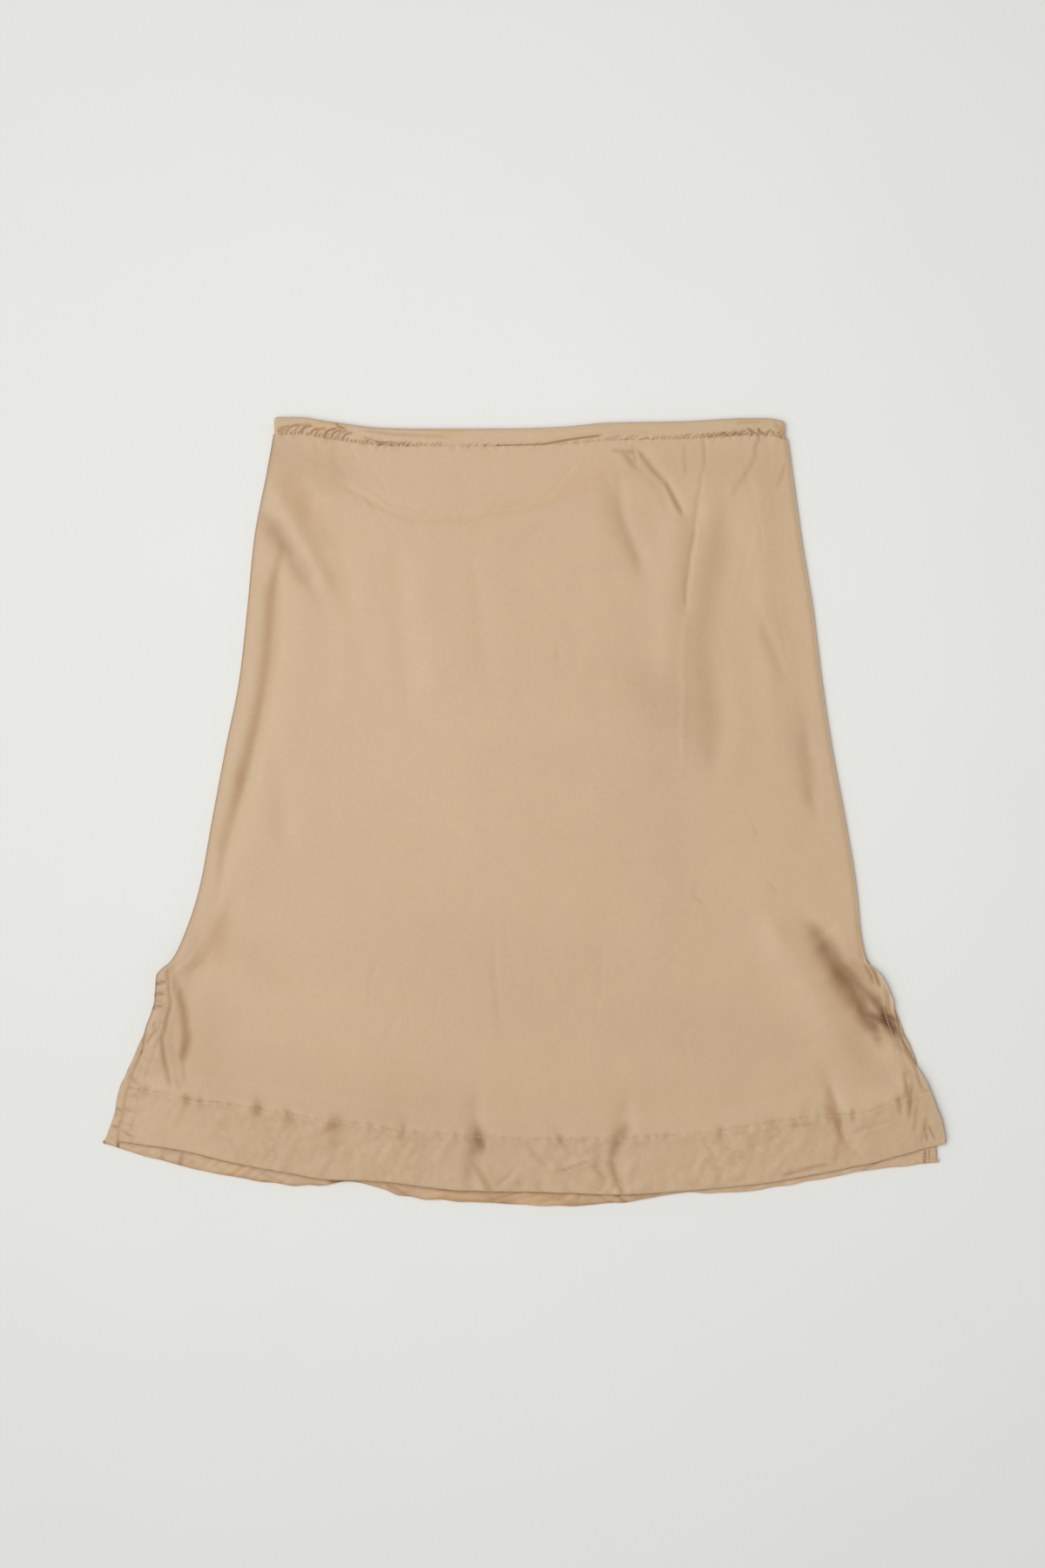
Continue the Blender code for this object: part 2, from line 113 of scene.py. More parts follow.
# ---------------------------------------------------------------- outline
SIDE_SEAMS = (
    # The sides of both panels, down past the slit tops.
    # y, left, right
    (290, -180, 184), (272.4, -182.2, 189.7), (247.2, -186.6, 193.5), (196.7, -196.1, 200.5),
    (146.2, -201.1, 208.7), (95.7, -206.8, 215), (45.1, -216.9, 222.6), (-5.4, -226.4, 232),
    (-55.9, -235.8, 240.2), (-93.8, -248.5, 244), (-108.6, -256.4, 247.6), (-113.3, -262.3, 252.9),
    (-119, -266.8, 258.7), (-135.4, -268, 266.1),
)
FRONT_SLIT_EDGES = (
    # y, left, right
    (-156.3, -274.3, 270.3), (-177.7, -279, 279.8), (-195, -285.8, 290.4), (-217.5, -290.2, 299.6),
    (-229.5, -292.9, 303.2), (-245, -294.2, 305),
)
BACK_SLIT_EDGES = (
    # y, left, right
    (-156.3, -274.3, 273), (-177.7, -283.2, 282.6), (-200.5, -293.3, 287.6), (-220, -297.7, 292),
    (-241.5, -304.6, 297.4), (-256, -305.3, 299.4),
)
WAIST = (
    # x, y
    (-182, 285.4), (-166, 285.4), (-140, 281.9), (-103, 277.5), (-77, 276.9), (-14, 277), (24, 278.1),
    (62, 281.3), (112, 282.2), (163, 284.6), (176, 284.4), (188, 282.4),
)
FRONT_HEM = (
    # x, y
    (-295, -238.2), (-276, -240.9), (-248, -245.3), (-216, -252.9), (-166, -262.3), (-140, -266.1),
    (-115, -266.8), (-40, -274.3), (24, -275.6), (68, -276.9), (112, -274.3), (169, -269.3),
    (219, -260.4), (251, -254.1), (289, -244), (305, -240),
)
BACK_HEM = (
    # x, y
    (-305, -240.9), (-279, -248.5), (-241, -258.6), (-216, -264.2), (-153, -271.2), (-128, -267.6),
    (-103, -273.1), (-90, -278.6), (-52, -281.9), (24, -285.6), (74, -282.5), (112, -276.4),
    (150, -275.6), (200, -268.7), (251, -259.8), (300, -254.1),
)

HEM_DEPTHS = (
    # How far above the front hem its stitches run.
    # x, depth
    (-295, 39), (-263, 38.5), (-241, 37), (-219, 40.5), (-197, 41.5), (-145, 42.6), (-109, 40.3),
    (-87, 37.6), (-65, 39.3), (24, 38.4), (46, 39.6), (90, 41), (134, 41), (178, 43.3), (200, 41.8),
    (222, 39.8), (245, 36.4), (267, 38.5), (300, 39.5),
)

# ---------------------------------------------------------------- folds and creases
# A fold or crease runs along a bowed line. A positive height is a ridge and a negative one a trough.
# Its bank is a ridge beside it, as a share of its depth: on its right-hand side, or its left if negative.
FRONT_FOLDS = (
    # x0,   y0,     x1,     y1,   bow, half width, height
    # the left hip and side
    (-163.5, 228, -134, 168, 0, 10, -1.1),
    (-175, 222, -147, 170, 0, 7, 0.7),
    (-182, 206, -158, 170, 0, 7.5, -1.1),
    (-180, 158.8, -214, -22.4, -6.5, 6, -1.3),
    (-162, 150, -196, -30, -7, 12, 0.5),
    # soft troughs
    (-91.9, 172, -85.6, 100, 0, 10, -0.6),
    (-34, 160, -28, 112, 0, 9, -0.45),
    (-178.4, 28.1, -173.9, -5.4, 0, 10, -0.8),
    # from the waist
    (-150, 240, 57, 236.5, 22, 7, -0.4),
    (84, 257.9, 111, 221, 0, 6, -0.8),
    (66, 228, 82.4, 190, 2, 8, -0.9),
    (125, 215, 116.5, 150, 1, 5, -0.7),
    (110, 205, 104, 120, 2, 10, 0.6),
    # the right hip
    (144, 188.5, 139.5, 66, 8, 13, -1.4),
    (170, 220, 178, 90, 0, 11, 0.8),
    # above the slits
    (212, -90, 252, -146, 0, 8.5, -1.7),
    (188, -98, 226, -160, 0, 13, 1.8),
    (239, -108, 258, -134, 0, 6, 1.5),
    (-216.3, -81.1, -231, -112, 0, 10, -0.6),
    # the hem
    (-35, -218, -37.6, -268, 0, 7, -1),
    (72.3, -222, 63.5, -268, 0, 7, -1),
    (221.3, -198, 233.9, -242, 0, 7, -1),
)
# Along a crease its shade is painted shade, and its warmth a painted golden light in its trough or on its
# ridge.
CREASES = (
    # x0,   y0,     x1,     y1,  bow, half width, height, bank, shade, warmth
    # the right of the waist
    (66.6, 261.1, 77.3, 259.8, 0, 1.4, -0.4, 0, 0.2, 0),
    (72.3, 259.8, 78.6, 251.6, 0, 2.2, -0.4, 0.3, 0.15, 0),
    (79, 262, 80.5, 254, 0, 1.2, -0.3, 0, 0.1, 0),
    (85.5, 257.3, 103, 237, 0.5, 1.8, -0.8, 0.5, 0.2, 0.1),
    (103, 237, 113, 219, 0.3, 1.7, -0.8, 0.5, 0.32, 0.1),
    (69.1, 234.6, 81.1, 184.1, 3, 4, -0.4, 0.2, 0.05, 0),
    (129.8, 266.1, 130.2, 253.5, 0, 1.3, -0.3, 0, 0.13, 0),
    (130.2, 253.5, 122.8, 201.1, 0, 1.3, -0.18, 0.3, 0.05, 0),
    (122.8, 201.1, 116.5, 152.5, 1, 1.7, -0.45, -0.5, 0.15, 0.1),
    (115.9, 152.5, 115.2, 45.1, 0, 2.4, 0.2, 0, 0, 0),
    (116, 262, 117, 247, 0.6, 1.4, -0.2, 0.3, 0.08, 0.2),
    (170.2, 269.3, 168, 256, 1, 1.7, -0.35, 0.3, 0.16, 0.1),
    (168, 256, 153.1, 233.3, -0.8, 2, -0.3, 0.3, 0.11, 0.1),
    (188, 248.5, 184.7, 236.5, 0, 1.8, -0.3, 0, 0.14, 0.2),
    (175.2, 129.1, 183.4, 107, 0, 4.5, -0.5, 0, 0.04, 0),
    (204.9, 45.1, 209.3, 10.4, 0, 6, -0.7, 0, 0.05, 0),
    # the left of the waist
    (-160, 258, -138, 247, 0, 1.5, -0.1, 0.3, 0.02, 0),
    (-150, 266, -147, 252, 0.5, 3, -0.1, 0, 0.02, 0.2),
    (-138, 264, -137, 242, 0.5, 3.4, -0.1, 0, 0.03, 0.3),
    (-124.5, 257.5, -122.5, 255, 0, 1, -0.1, 0, 0.07, 0),
    # the arc that sags below the waist, with a little painted shade in its troughs and painted golden light
    # along its ridges
    (-163.8, 249.1, -127.9, 234.6, 1, 1.8, -0.16, 0, 0.02, 0.1),
    (-127.9, 234.6, -81.8, 211.2, 1.5, 1.8, -0.2, 0.3, 0.02, 0.1),
    (-81.8, 211.2, -33.8, 212.5, 1.5, 1.8, -0.16, 0.3, 0.02, 0.2),
    (-33.8, 212.5, -1.6, 217.5, 0.5, 1.5, 0.3, 0, 0, 0.8),
    (-1.6, 217.5, 23.7, 227, 0, 1.5, 0.35, 0, 0, 0.9),
    (23.7, 227, 61.6, 237.1, -0.6, 1.5, 0.3, 0, 0, 0.7),
    (-26.8, 219.4, -6, 223.5, 0, 1.5, 0.25, 0, 0, 0.7),
    (20, 236, 66, 244, -1, 3, 0.2, 0, 0, 0.45),
    (-1.6, 196.7, 19.3, 213.7, 0, 1.2, -0.22, 0, 0.03, 0),
    # the left slit: two long creases beside its stitches, and small ones on its turned-in band
    (-254, -119, -249.5, -134, -0.3, 2.8, -0.5, 0.4, 0.13, 0.1),
    (-249.5, -132, -245, -152, -0.5, 3.1, -0.8, 0.4, 0.25, 0.3),
    (-245, -150, -246.8, -177, -1.6, 2.9, -0.9, 0.4, 0.33, 0.5),
    (-253, -176, -250, -196, 0.4, 2, -0.3, 0.3, 0.07, 0),
    (-243.5, -158, -242.5, -166, 0, 1.5, 0.3, 0, 0, 0),
    (-258.6, -117, -256.7, -138, 0.3, 1.3, -0.4, 0.4, 0.26, 0.1),
    (-256.7, -138, -262, -165, -0.5, 1.4, -0.5, 0.4, 0.3, 0.2),
    (-262.4, -164, -257.6, -192, 0.9, 1.7, -0.5, 0.4, 0.32, 0.3),
    (-255, -114, -253.8, -128, 0.2, 1.1, -0.3, 0.4, 0.16, 0),
    (-246.8, -176, -246.4, -193, 0.2, 1.5, -0.3, 0.3, 0.12, 0.5),
    (-254, -172, -252, -192, 0.5, 1.6, -0.25, 0.3, 0.06, 0),
    (-268, -125.3, -262, -123.6, 0.3, 1.2, -0.5, 0.6, 0.5, 0.1),
    (-268.4, -133.2, -262.4, -131.6, 0.3, 1.2, -0.5, 0.6, 0.46, 0.1),
    (-269.4, -141.6, -263.2, -140.2, 0.3, 1.2, -0.5, 0.6, 0.46, 0.1),
    (-268, -136.5, -264, -137.5, 0.3, 1, -0.3, 0.5, 0.16, 0),
    (-274.6, -178.8, -268, -179.6, 0.6, 1, -0.3, 0.5, 0.24, 0.1),
    (-283.8, -191, -279, -196, 0.4, 1.2, -0.3, 0.5, 0.18, 0.2),
    (-286, -206, -281, -205, 0.4, 0.9, -0.3, 0.5, 0.18, 0),
    (-288.5, -214.5, -283, -216.5, 0.4, 0.9, -0.3, 0.5, 0.2, 0),
    (-267.4, -153, -266.1, -158.6, 0.3, 1, -0.35, 0.5, 0.16, 0),
    (-266.1, -158.2, -273.6, -167.4, 0.3, 0.9, -0.4, 0.7, 0.26, 0),
    (-273.7, -161, -276.6, -171, 0.3, 1, -0.35, 0.5, 0.15, 0.2),
    (-277, -173.6, -282.5, -178.6, -0.4, 0.8, -0.4, 0.5, 0.45, 0),
    (-277.5, -186, -271, -189.5, 0.4, 1, -0.25, 0.5, 0.1, 0),
    (-283, -200, -275, -203, 0.4, 1, -0.25, 0.5, 0.1, 0),
    (-290.6, -224.5, -285, -226.5, 0.3, 0.8, -0.35, 0.6, 0.2, 0),
    (-290.8, -230.8, -284.6, -235.4, 0.3, 0.8, -0.35, 0.6, 0.26, 0),
    (-216.5, -80, -220, -104, 1, 5.5, -0.2, 0, 0.06, 0.3),
    (-238, -92, -239.5, -112, 0.5, 6, -0.2, 0, 0.05, 0.2),
    # painted shade and golden light in the two soft troughs of the left hip
    (-166, 239, -160.5, 228, 0, 6.5, 0, 0, 0.09, 0.4),
    (-160.5, 228, -157, 218, 0, 6.5, 0, 0, 0.17, 0.7),
    (-157, 218, -143, 197, 0, 7.5, 0, 0, 0.12, 0.4),
    (-143, 197, -131, 170, 0, 8.5, 0, 0, 0.06, 0.1),
    (-186, 212, -181, 205, 0, 4, 0, 0, 0.12, 0),
    (-181, 205, -171, 188, 0, 5.8, 0, 0, 0.29, 0),
    (-171, 188, -160, 171, 0, 6.4, 0, 0, 0.18, 0),
    (-160, 171, -149, 154, 0, 7, 0, 0, 0.05, 0),
    # the right slit: painted shade in its trough and at the trough's two ends, and creases on the turned-in
    # band
    (211, -88, 218, -99, 0, 6, 0, 0, 0.36, 0),
    (218, -99, 229, -116, 0, 8.6, 0, 0, 0.52, 0.1),
    (229, -116, 241, -134, 0, 10, 0, 0, 0.6, 0.25),
    (241, -134, 252, -155, 0.5, 6, -0.6, -0.3, 0.62, 0.25),
    (252, -155, 255, -164, 0, 4.4, -0.2, 0, 0.36, 0.1),
    (240, -125, 252, -136, 0, 4.8, 0, 0, 0.52, 0.2),
    (253, -137, 259.5, -147, 0, 4.8, 0, 0, 0.6, 0.1),
    (248, -147.5, 262, -152, 0, 5.2, 0, 0, 0.7, 0.35),
    (260, -149, 268, -158, 0, 5.6, -0.4, 0.3, 0.76, 0.4),
    (264, -149, 271, -152.5, 0, 3.6, 0, 0, 0.72, 0.4),
    (247.8, -135, 251, -142, 0, 2, 0.3, 0, 0, 0),
    (249.7, -109, 255.8, -124, 0, 1.1, -0.5, 0.5, 0.52, 0.1),
    (246.8, -111, 251.8, -123.4, 0, 1, -0.4, 0.4, 0.36, 0),
    (259, -128, 262, -143, 0, 1.2, 0.35, 0, 0, 0),
    (263, -131, 264.5, -144, 0, 1, -0.3, 0.5, 0.14, 0),
    (242, -84, 245.4, -104, 0.3, 2.6, -0.2, 0, 0.17, 0.4),
    (270.5, -155.5, 281.6, -183.4, 0.5, 1.2, -0.5, 0.6, 0.5, 0),
    (266.6, -156, 273, -172, 0.3, 1, -0.3, 0.5, 0.3, 0),
    (275, -190, 277.4, -203.5, 0, 1.3, -0.4, 0.6, 0.26, 0.2),
    (280.2, -203, 279.2, -219, 0.5, 1.3, -0.4, 0.6, 0.15, 0.4),
    (271.8, -210, 271.4, -216.5, 0, 1.2, -0.35, 0.5, 0.16, 0),
    (284.5, -214, 282.5, -228, 0.5, 1.1, -0.3, 0.6, 0.12, 0.2),
    (291, -222, 288, -236, 0.5, 1, -0.3, 0.6, 0.12, 0),
    (289.6, -228, 290.8, -237, 0, 0.9, -0.3, 0.6, 0.32, 0),
    (293, -229, 296, -236, 0, 1, -0.3, 0.6, 0.24, 0),
    (283, -187, 287, -199, 0, 1, -0.3, 0.6, 0.22, 0.1),
    (190, -262, 216, -255, 0, 1.3, -0.4, 0, 0.3, 0),
    # the hem
    (-34, -229, -32.5, -244, 0.4, 3.6, -0.7, 0.3, 0.22, 0.3),
    (-34.4, -246, -39.5, -261.1, 0, 4.2, -0.6, 0.2, 0.16, 0.2),
    (-36.3, -255, -25.6, -271.8, 0, 2.6, -0.8, -0.5, 0.22, 0.1),
    (-18.5, -269, -9.5, -260, 0.5, 1.6, -0.4, 0.4, 0.13, 0),
    (3.5, -241.5, 14.8, -254, 0.4, 2.2, -0.35, 0.4, 0.06, 0),
    (-5, -268, -3.5, -271.5, 0, 1.5, -0.3, 0, 0.12, 0.4),
    (10.4, -268, 11, -272, 0, 1.5, -0.3, 0, 0.12, 0.4),
    (25, -236, 29.5, -243, 0.3, 1.8, -0.4, 0.3, 0.1, 0.2),
    (74, -229, 66, -246.6, 0.8, 3.2, -0.6, 0.3, 0.15, 0.2),
    (64.1, -256, 70.4, -273.1, 0, 2.6, -0.8, 0.5, 0.2, 0.1),
    (29.1, -258.2, 44.8, -252.4, 0.2, 0.7, -0.35, 0.4, 0.34, 0),
    (17, -262.5, 29.1, -258.2, -0.3, 0.9, -0.2, 0.4, 0.06, 0),
    (50, -256.5, 58, -264, 0.5, 1.6, -0.35, 0.4, 0.09, 0),
    (195.4, -227.6, 206.8, -226.4, 0, 1.4, -0.3, 0.3, 0.12, 0),
    (222.4, -203, 227.6, -222.2, 0, 2.6, -0.8, 0.4, 0.16, 0.2),
    (227.4, -221.9, 230, -237, 0.8, 1.9, -0.8, 0.5, 0.24, 0.3),
    (230, -237, 226, -249, 0.5, 2.4, -0.5, 0.3, 0.1, 0.5),
    (230, -237, 241, -250, -0.5, 2.2, -0.4, 0.3, 0.09, 0.4),
    (236.9, -216, 236, -221, 0, 1.4, -0.4, 0.4, 0.16, 0),
    (240, -232, 262, -224, -1, 1.6, -0.35, 0.5, 0.09, 0),
    (236, -246, 246, -229, -1.2, 1.8, -0.3, 0.5, 0.06, 0),
    (177, -236, 186, -231, 0.8, 1.6, -0.35, 0.5, 0.1, 0),
    # small marks in the body
    (23.7, 116, 23.9, 111.5, 0, 1.2, -0.18, 0, 0.1, 0),
    (166.4, -12, 168, -16, 0, 1.3, -0.18, 0, 0.1, 0),
    (124, -63, 128, -66, 0, 1.3, -0.18, 0, 0.1, 0),
    (178, -54, 182, -58, 0, 1.3, -0.18, 0, 0.1, 0),
    (-22.4, -98.2, -18.6, -144.3, 1, 2.2, -0.2, 0, 0.02, 0),
)
SOFT_SHADES = (
    # Broad painted shade where the cloth turns away from the light or dips a little, and painted light
    # where the shade is negative; warmth is a golden tint, in the dark streaks painted golden light, or a
    # pinker tone where negative.
    # x0,   y0,     x1,     y1,    bow, half width, shade, warmth
    (-178, 258, -138, 246, 0, 15, 0.12, 0.1),
    (-95, 150, -65, 30, 0, 42, -0.035, 0),
    (0, 50, 60, 45, 0, 26, -0.03, 0),
    (40, 200, 56, 140, 0, 20, -0.02, 0),
    (150, -5, 200, -110, 0, 26, -0.025, 0),
    (84, 250, 165, 252, 0, 15, 0.045, 0.15),
    (-214, -92, -190, -112, 0, 14, 0.05, 0),
    (-260, -135, -252, -172, 0, 11, 0.05, 0),
    (95, 15, 102, -62, 0, 22, 0, -0.5),
    (10, -236, 76, -242, 0, 18, 0, -0.7),
    (-182.8, 158.8, -206, 24, -5.5, 5.2, 0.19, 0.28),
    (-206, 24, -217, -22.4, 0, 5, 0.08, 0.2),
    (-254, -95, -258, -100, 0, 6, 0.03, 0),
    (68, 216, 74, 186, 0, 11, 0.06, 0),
    (84, 212, 90, 196, 0, 8, 0.04, 0),
    (142, 192, 134, 60, 5, 13, 0.09, 0.06),
    (84, 92, 106, 70, 0, 17, 0.05, -0.8),
    (72, 140, 106, 100, 0, 14, 0.015, 0),
    (-10, 42, 115, 42, 0, 16, 0, -0.55),
    (150, 185, 152, -5, 0, 18, 0, 0.3),
    (167, 139, 173, 117, 0, 6, 0.03, 0),
    (197, 66, 205, 20, 0, 8, 0.07, -0.6),
    (-40, -120, 20, -150, 0, 60, 0.02, 0),
    (-50, -100, 130, -160, 0, 34, 0, -0.7),
    (-52, -155, -48, -240, 0, 18, -0.025, -0.8),
    (-230, -185, -90, -212, 0, 34, 0.05, 0),
    (-90, -212, 120, -215, 0, 22, 0.03, 0),
    (235, -170, 262, -190, 0, 16, 0.06, 0),
    (-232, -150, -226, -200, 0, 16, 0.05, 0),
    (-217.5, -84, -224, -106, 0, 12, 0.03, 0.1),
    (-195, -246, -120, -256, 0, 12, 0.03, 0),
)
FAINT_CREASES = (
    # Places with many faint creases, each of them by chance within these limits.
    # x,    y,   spread x, spread y, number, angle, length
    (98, 78, 45, 26, 12, 0.15, 34),
    (-10, 25, 120, 45, 14, 0.05, 45),
    (-120, 30, 50, 60, 8, -0.15, 40),
    (60, -60, 110, 40, 10, 0.2, 50),
    (-40, -150, 170, 50, 12, 1.35, 45),
    (20, 200, 110, 40, 10, 0.5, 34),
    (-130, 225, 30, 30, 6, -0.6, 30),
    (165, 150, 25, 80, 8, 1.5, 50),
    (150, -120, 70, 60, 8, 0.9, 45),
)
HEM_PUCKERS = (
    # Short dents across the hem's stitches, with painted shade and golden light; the lean is how far they
    # run sideways.
    # x,    half width, up, down, lean, depth, shade, warmth
    (-273, 3, 3, 4, 0.3, 0.3, 0.1, 0),
    (-266.5, 2.2, 3.5, 6, 0.1, 0.35, 0.09, 0),
    (-261, 1.8, 2.5, 7, 0, 0.3, 0.07, 0),
    (-244, 3.2, 3.5, 8, 0.15, 0.55, 0.2, 0.6),
    (-233, 2, 4, 6, -0.1, 0.4, 0.15, 0),
    (-221, 1.6, 2.5, 4, 0.1, 0.22, 0.06, 0),
    (-211, 2.6, 3, 5, 0.2, 0.25, 0.06, 0),
    (-192.5, 4, 7, 9, 0.15, 0.6, 0.24, 0.4),
    (-170, 3, 4, 10, -0.35, 0.5, 0.18, 0.3),
    (-157, 1.6, 2.5, 4, 0.2, 0.22, 0.06, 0),
    (-136, 5.2, 5, 12, 0.25, 0.55, 0.24, 0.5),
    (-112, 1.8, 4, 5, 0, 0.25, 0.07, 0),
    (-88, 2.6, 7, 7, 0.1, 0.45, 0.19, 0.3),
    (-78, 1.8, 3, 5, -0.2, 0.25, 0.07, 0),
    (-63, 2, 3, 5, 0.1, 0.25, 0.08, 0),
    (-49, 2.4, 4, 7, 0.1, 0.35, 0.1, 0),
    (-33, 5.2, 6.5, 12, 0.05, 0.9, 0.36, 0.6),
    (-8, 1.8, 3, 4, 0, 0.2, 0.05, 0),
    (27, 3.4, 6, 5, -0.35, 0.4, 0.13, 0.2),
    (46, 2, 3, 4, 0.3, 0.22, 0.06, 0),
    (69, 4.4, 8, 9, 0.35, 0.75, 0.24, 0.4),
    (80, 2.6, 4, 6, -0.2, 0.3, 0.08, 0),
    (103, 1.8, 3, 4, 0.1, 0.22, 0.06, 0),
    (142, 2.2, 4, 7, 0.1, 0.4, 0.14, 0),
    (160, 2, 3, 6, 0.3, 0.25, 0.07, 0),
    (180, 3.4, 6, 6, -0.1, 0.4, 0.12, 0.1),
    (200, 4, 9, 5, 0.5, 0.5, 0.12, 0.25),
    (212, 2.2, 4, 7, 0, 0.4, 0.12, 0),
    (222, 3.6, 9, 10, -0.3, 0.65, 0.22, 0.5),
    (238, 2.2, 3, 7, 0.1, 0.45, 0.16, 0),
    (247, 1.6, 2.5, 4, 0.1, 0.22, 0.06, 0),
    (259, 3, 2.5, 6, 0.2, 0.3, 0.06, 0),
    (272, 3.4, 3, 9, 0.15, 0.4, 0.1, 0),
    (280, 2.2, 9, 8, 0.05, 0.5, 0.19, 0.2),
)
GATHERS = (
    # The casing's gathers from left to right: how deep they are, how far they reach up the casing,
    # and how dark their shadows are.
    # x,     strength, reach, shade
    (-182, 0.5, 11, 0.25),
    (-165, 0.85, 11, 0.3),
    (-145, 0.9, 10, 0.34),
    (-128, 0.8, 8, 0.4),
    (-108, 0.85, 5, 0.6),
    (-80, 0.8, 4, 0.5),
    (-60, 0.5, 3, 0.38),
    (-26, 0.55, 3, 0.42),
    (0, 0.4, 3, 0.28),
    (24, 0.4, 3, 0.3),
    (50, 0.55, 4, 0.4),
    (87, 0.5, 4, 0.32),
    (110, 0.5, 4, 0.36),
    (130, 0.75, 5, 0.5),
    (156, 0.8, 6, 0.5),
    (176, 0.8, 7, 0.5),
    (188, 0.5, 8, 0.35),
)
GATHER_HEIGHT = 0.75
CASING_CREASES = (
    # x0,   y0,     x1,     y1,  bow, half width, height, bank, shade, warmth
    # the pinched place near the left end, and the overhang in the middle, with painted shade and golden
    # light
    (-137.5, 283, -131, 277.5, 1, 0.8, -0.5, 0.6, 0.4, 0.9),
    (-131, 277.5, -139, 276, 0.6, 0.8, -0.4, 0.3, 0.36, 0.6),
    (-152, 276.5, -140, 280.5, -1, 3, 0.3, 0, 0, 0.7),
    (-110, 275.2, -62, 271.6, 0.8, 1.3, -0.35, -0.5, 0.12, 0),
    (-80, 271.5, -48, 274, 0.6, 1.6, 0.25, 0, 0, 0.7),
    (-17.4, 264.6, 14.2, 265.6, 0.2, 0.7, -0.45, -0.7, 0.4, 0),
    (14.2, 265.6, 51.5, 271.4, -0.4, 0.7, -0.5, -0.8, 0.52, 0),
    (62, 272.6, 84, 273.4, -0.8, 1.4, 0.3, 0, 0, 0.5),
    # puckers above the stitches, with painted shade in them
    (-115, 270.4, -110, 269, 0.5, 0.8, -0.3, 0.4, 0.3, 0),
    (-107, 267.6, -100, 266.8, 0.5, 1, -0.4, 0.4, 0.48, 0),
    (-100, 266.6, -92, 266.4, -0.4, 0.7, -0.3, 0.4, 0.34, 0),
    (60, 269.6, 68, 271.2, 0.8, 0.8, -0.3, 0.4, 0.22, 0),
    (72, 268.6, 78, 271.4, 0.8, 0.8, -0.3, 0.4, 0.26, 0),
    (114.6, 269.9, 119.6, 272.4, -0.8, 0.8, -0.3, 0.4, 0.34, 0),
    (129.6, 268, 130.3, 271.6, 0, 0.8, -0.3, 0.4, 0.34, 0),
    (133.2, 270.8, 137.6, 269.2, 0.6, 0.9, -0.4, 0.4, 0.52, 0),
    (141.4, 272.2, 144.8, 273.7, -0.4, 1, -0.4, 0.4, 0.6, 0),
    (144.8, 273.7, 148.6, 271.5, 0.4, 1, -0.4, 0.4, 0.5, 0),
    (150.6, 272.3, 153.6, 273.7, -0.5, 1.1, -0.4, 0.4, 0.62, 0),
    (153.6, 273.7, 156.6, 272.5, 0.3, 0.9, -0.4, 0.4, 0.5, 0),
    (156.6, 272.8, 160, 275.2, -0.6, 0.7, -0.3, 0.4, 0.36, 0),
    (162.6, 276.4, 166.6, 274, 0.5, 1, -0.4, 0.4, 0.55, 0),
    (169.5, 276.2, 172.4, 273.4, 0.4, 1, -0.4, 0.4, 0.58, 0),
    (175, 272.4, 178, 275.6, -0.8, 0.7, -0.3, 0.4, 0.32, 0),
    (178, 275.6, 181, 272.6, -0.5, 0.8, -0.3, 0.4, 0.36, 0),
    (183, 279.4, 187, 274.4, 0, 2.2, -0.3, 0, 0.16, 0.2),
    (155.6, 281.2, 168.6, 281.8, -0.4, 1.3, -0.2, 0, 0.14, 0.2),
    (187.4, 282, 189, 272, 0, 1.5, 0, 0, 0.08, 0.6),
)
CASING_LOOPS = (
    # Curved puckers, one after another, that lean over the casing's stitches, with painted shade in them.
    # first x, last x, pitch, starts above, ends above, leans, bow, half width, height, shade
    (-178, -160, 5.6, 2.6, 6.6, 8, -1.5, 0.8, -0.45, 0.4),
    (-160, -126, 4.9, 1.8, 5.8, 5.6, -1.2, 0.8, -0.5, 0.48),
    (-178, -118, 2.9, 0.2, 2, 0.8, -0.4, 0.6, -0.35, 0.48),
    (-117, -60, 3.3, 0.3, 2.2, 1.4, -0.5, 0.6, -0.3, 0.3),
    (96, 128, 2.9, 0.2, 1.8, 1, -0.4, 0.6, -0.3, 0.3),
    (128, 184, 3.4, 0.2, 2.6, 1.6, -0.6, 0.7, -0.4, 0.36),
)
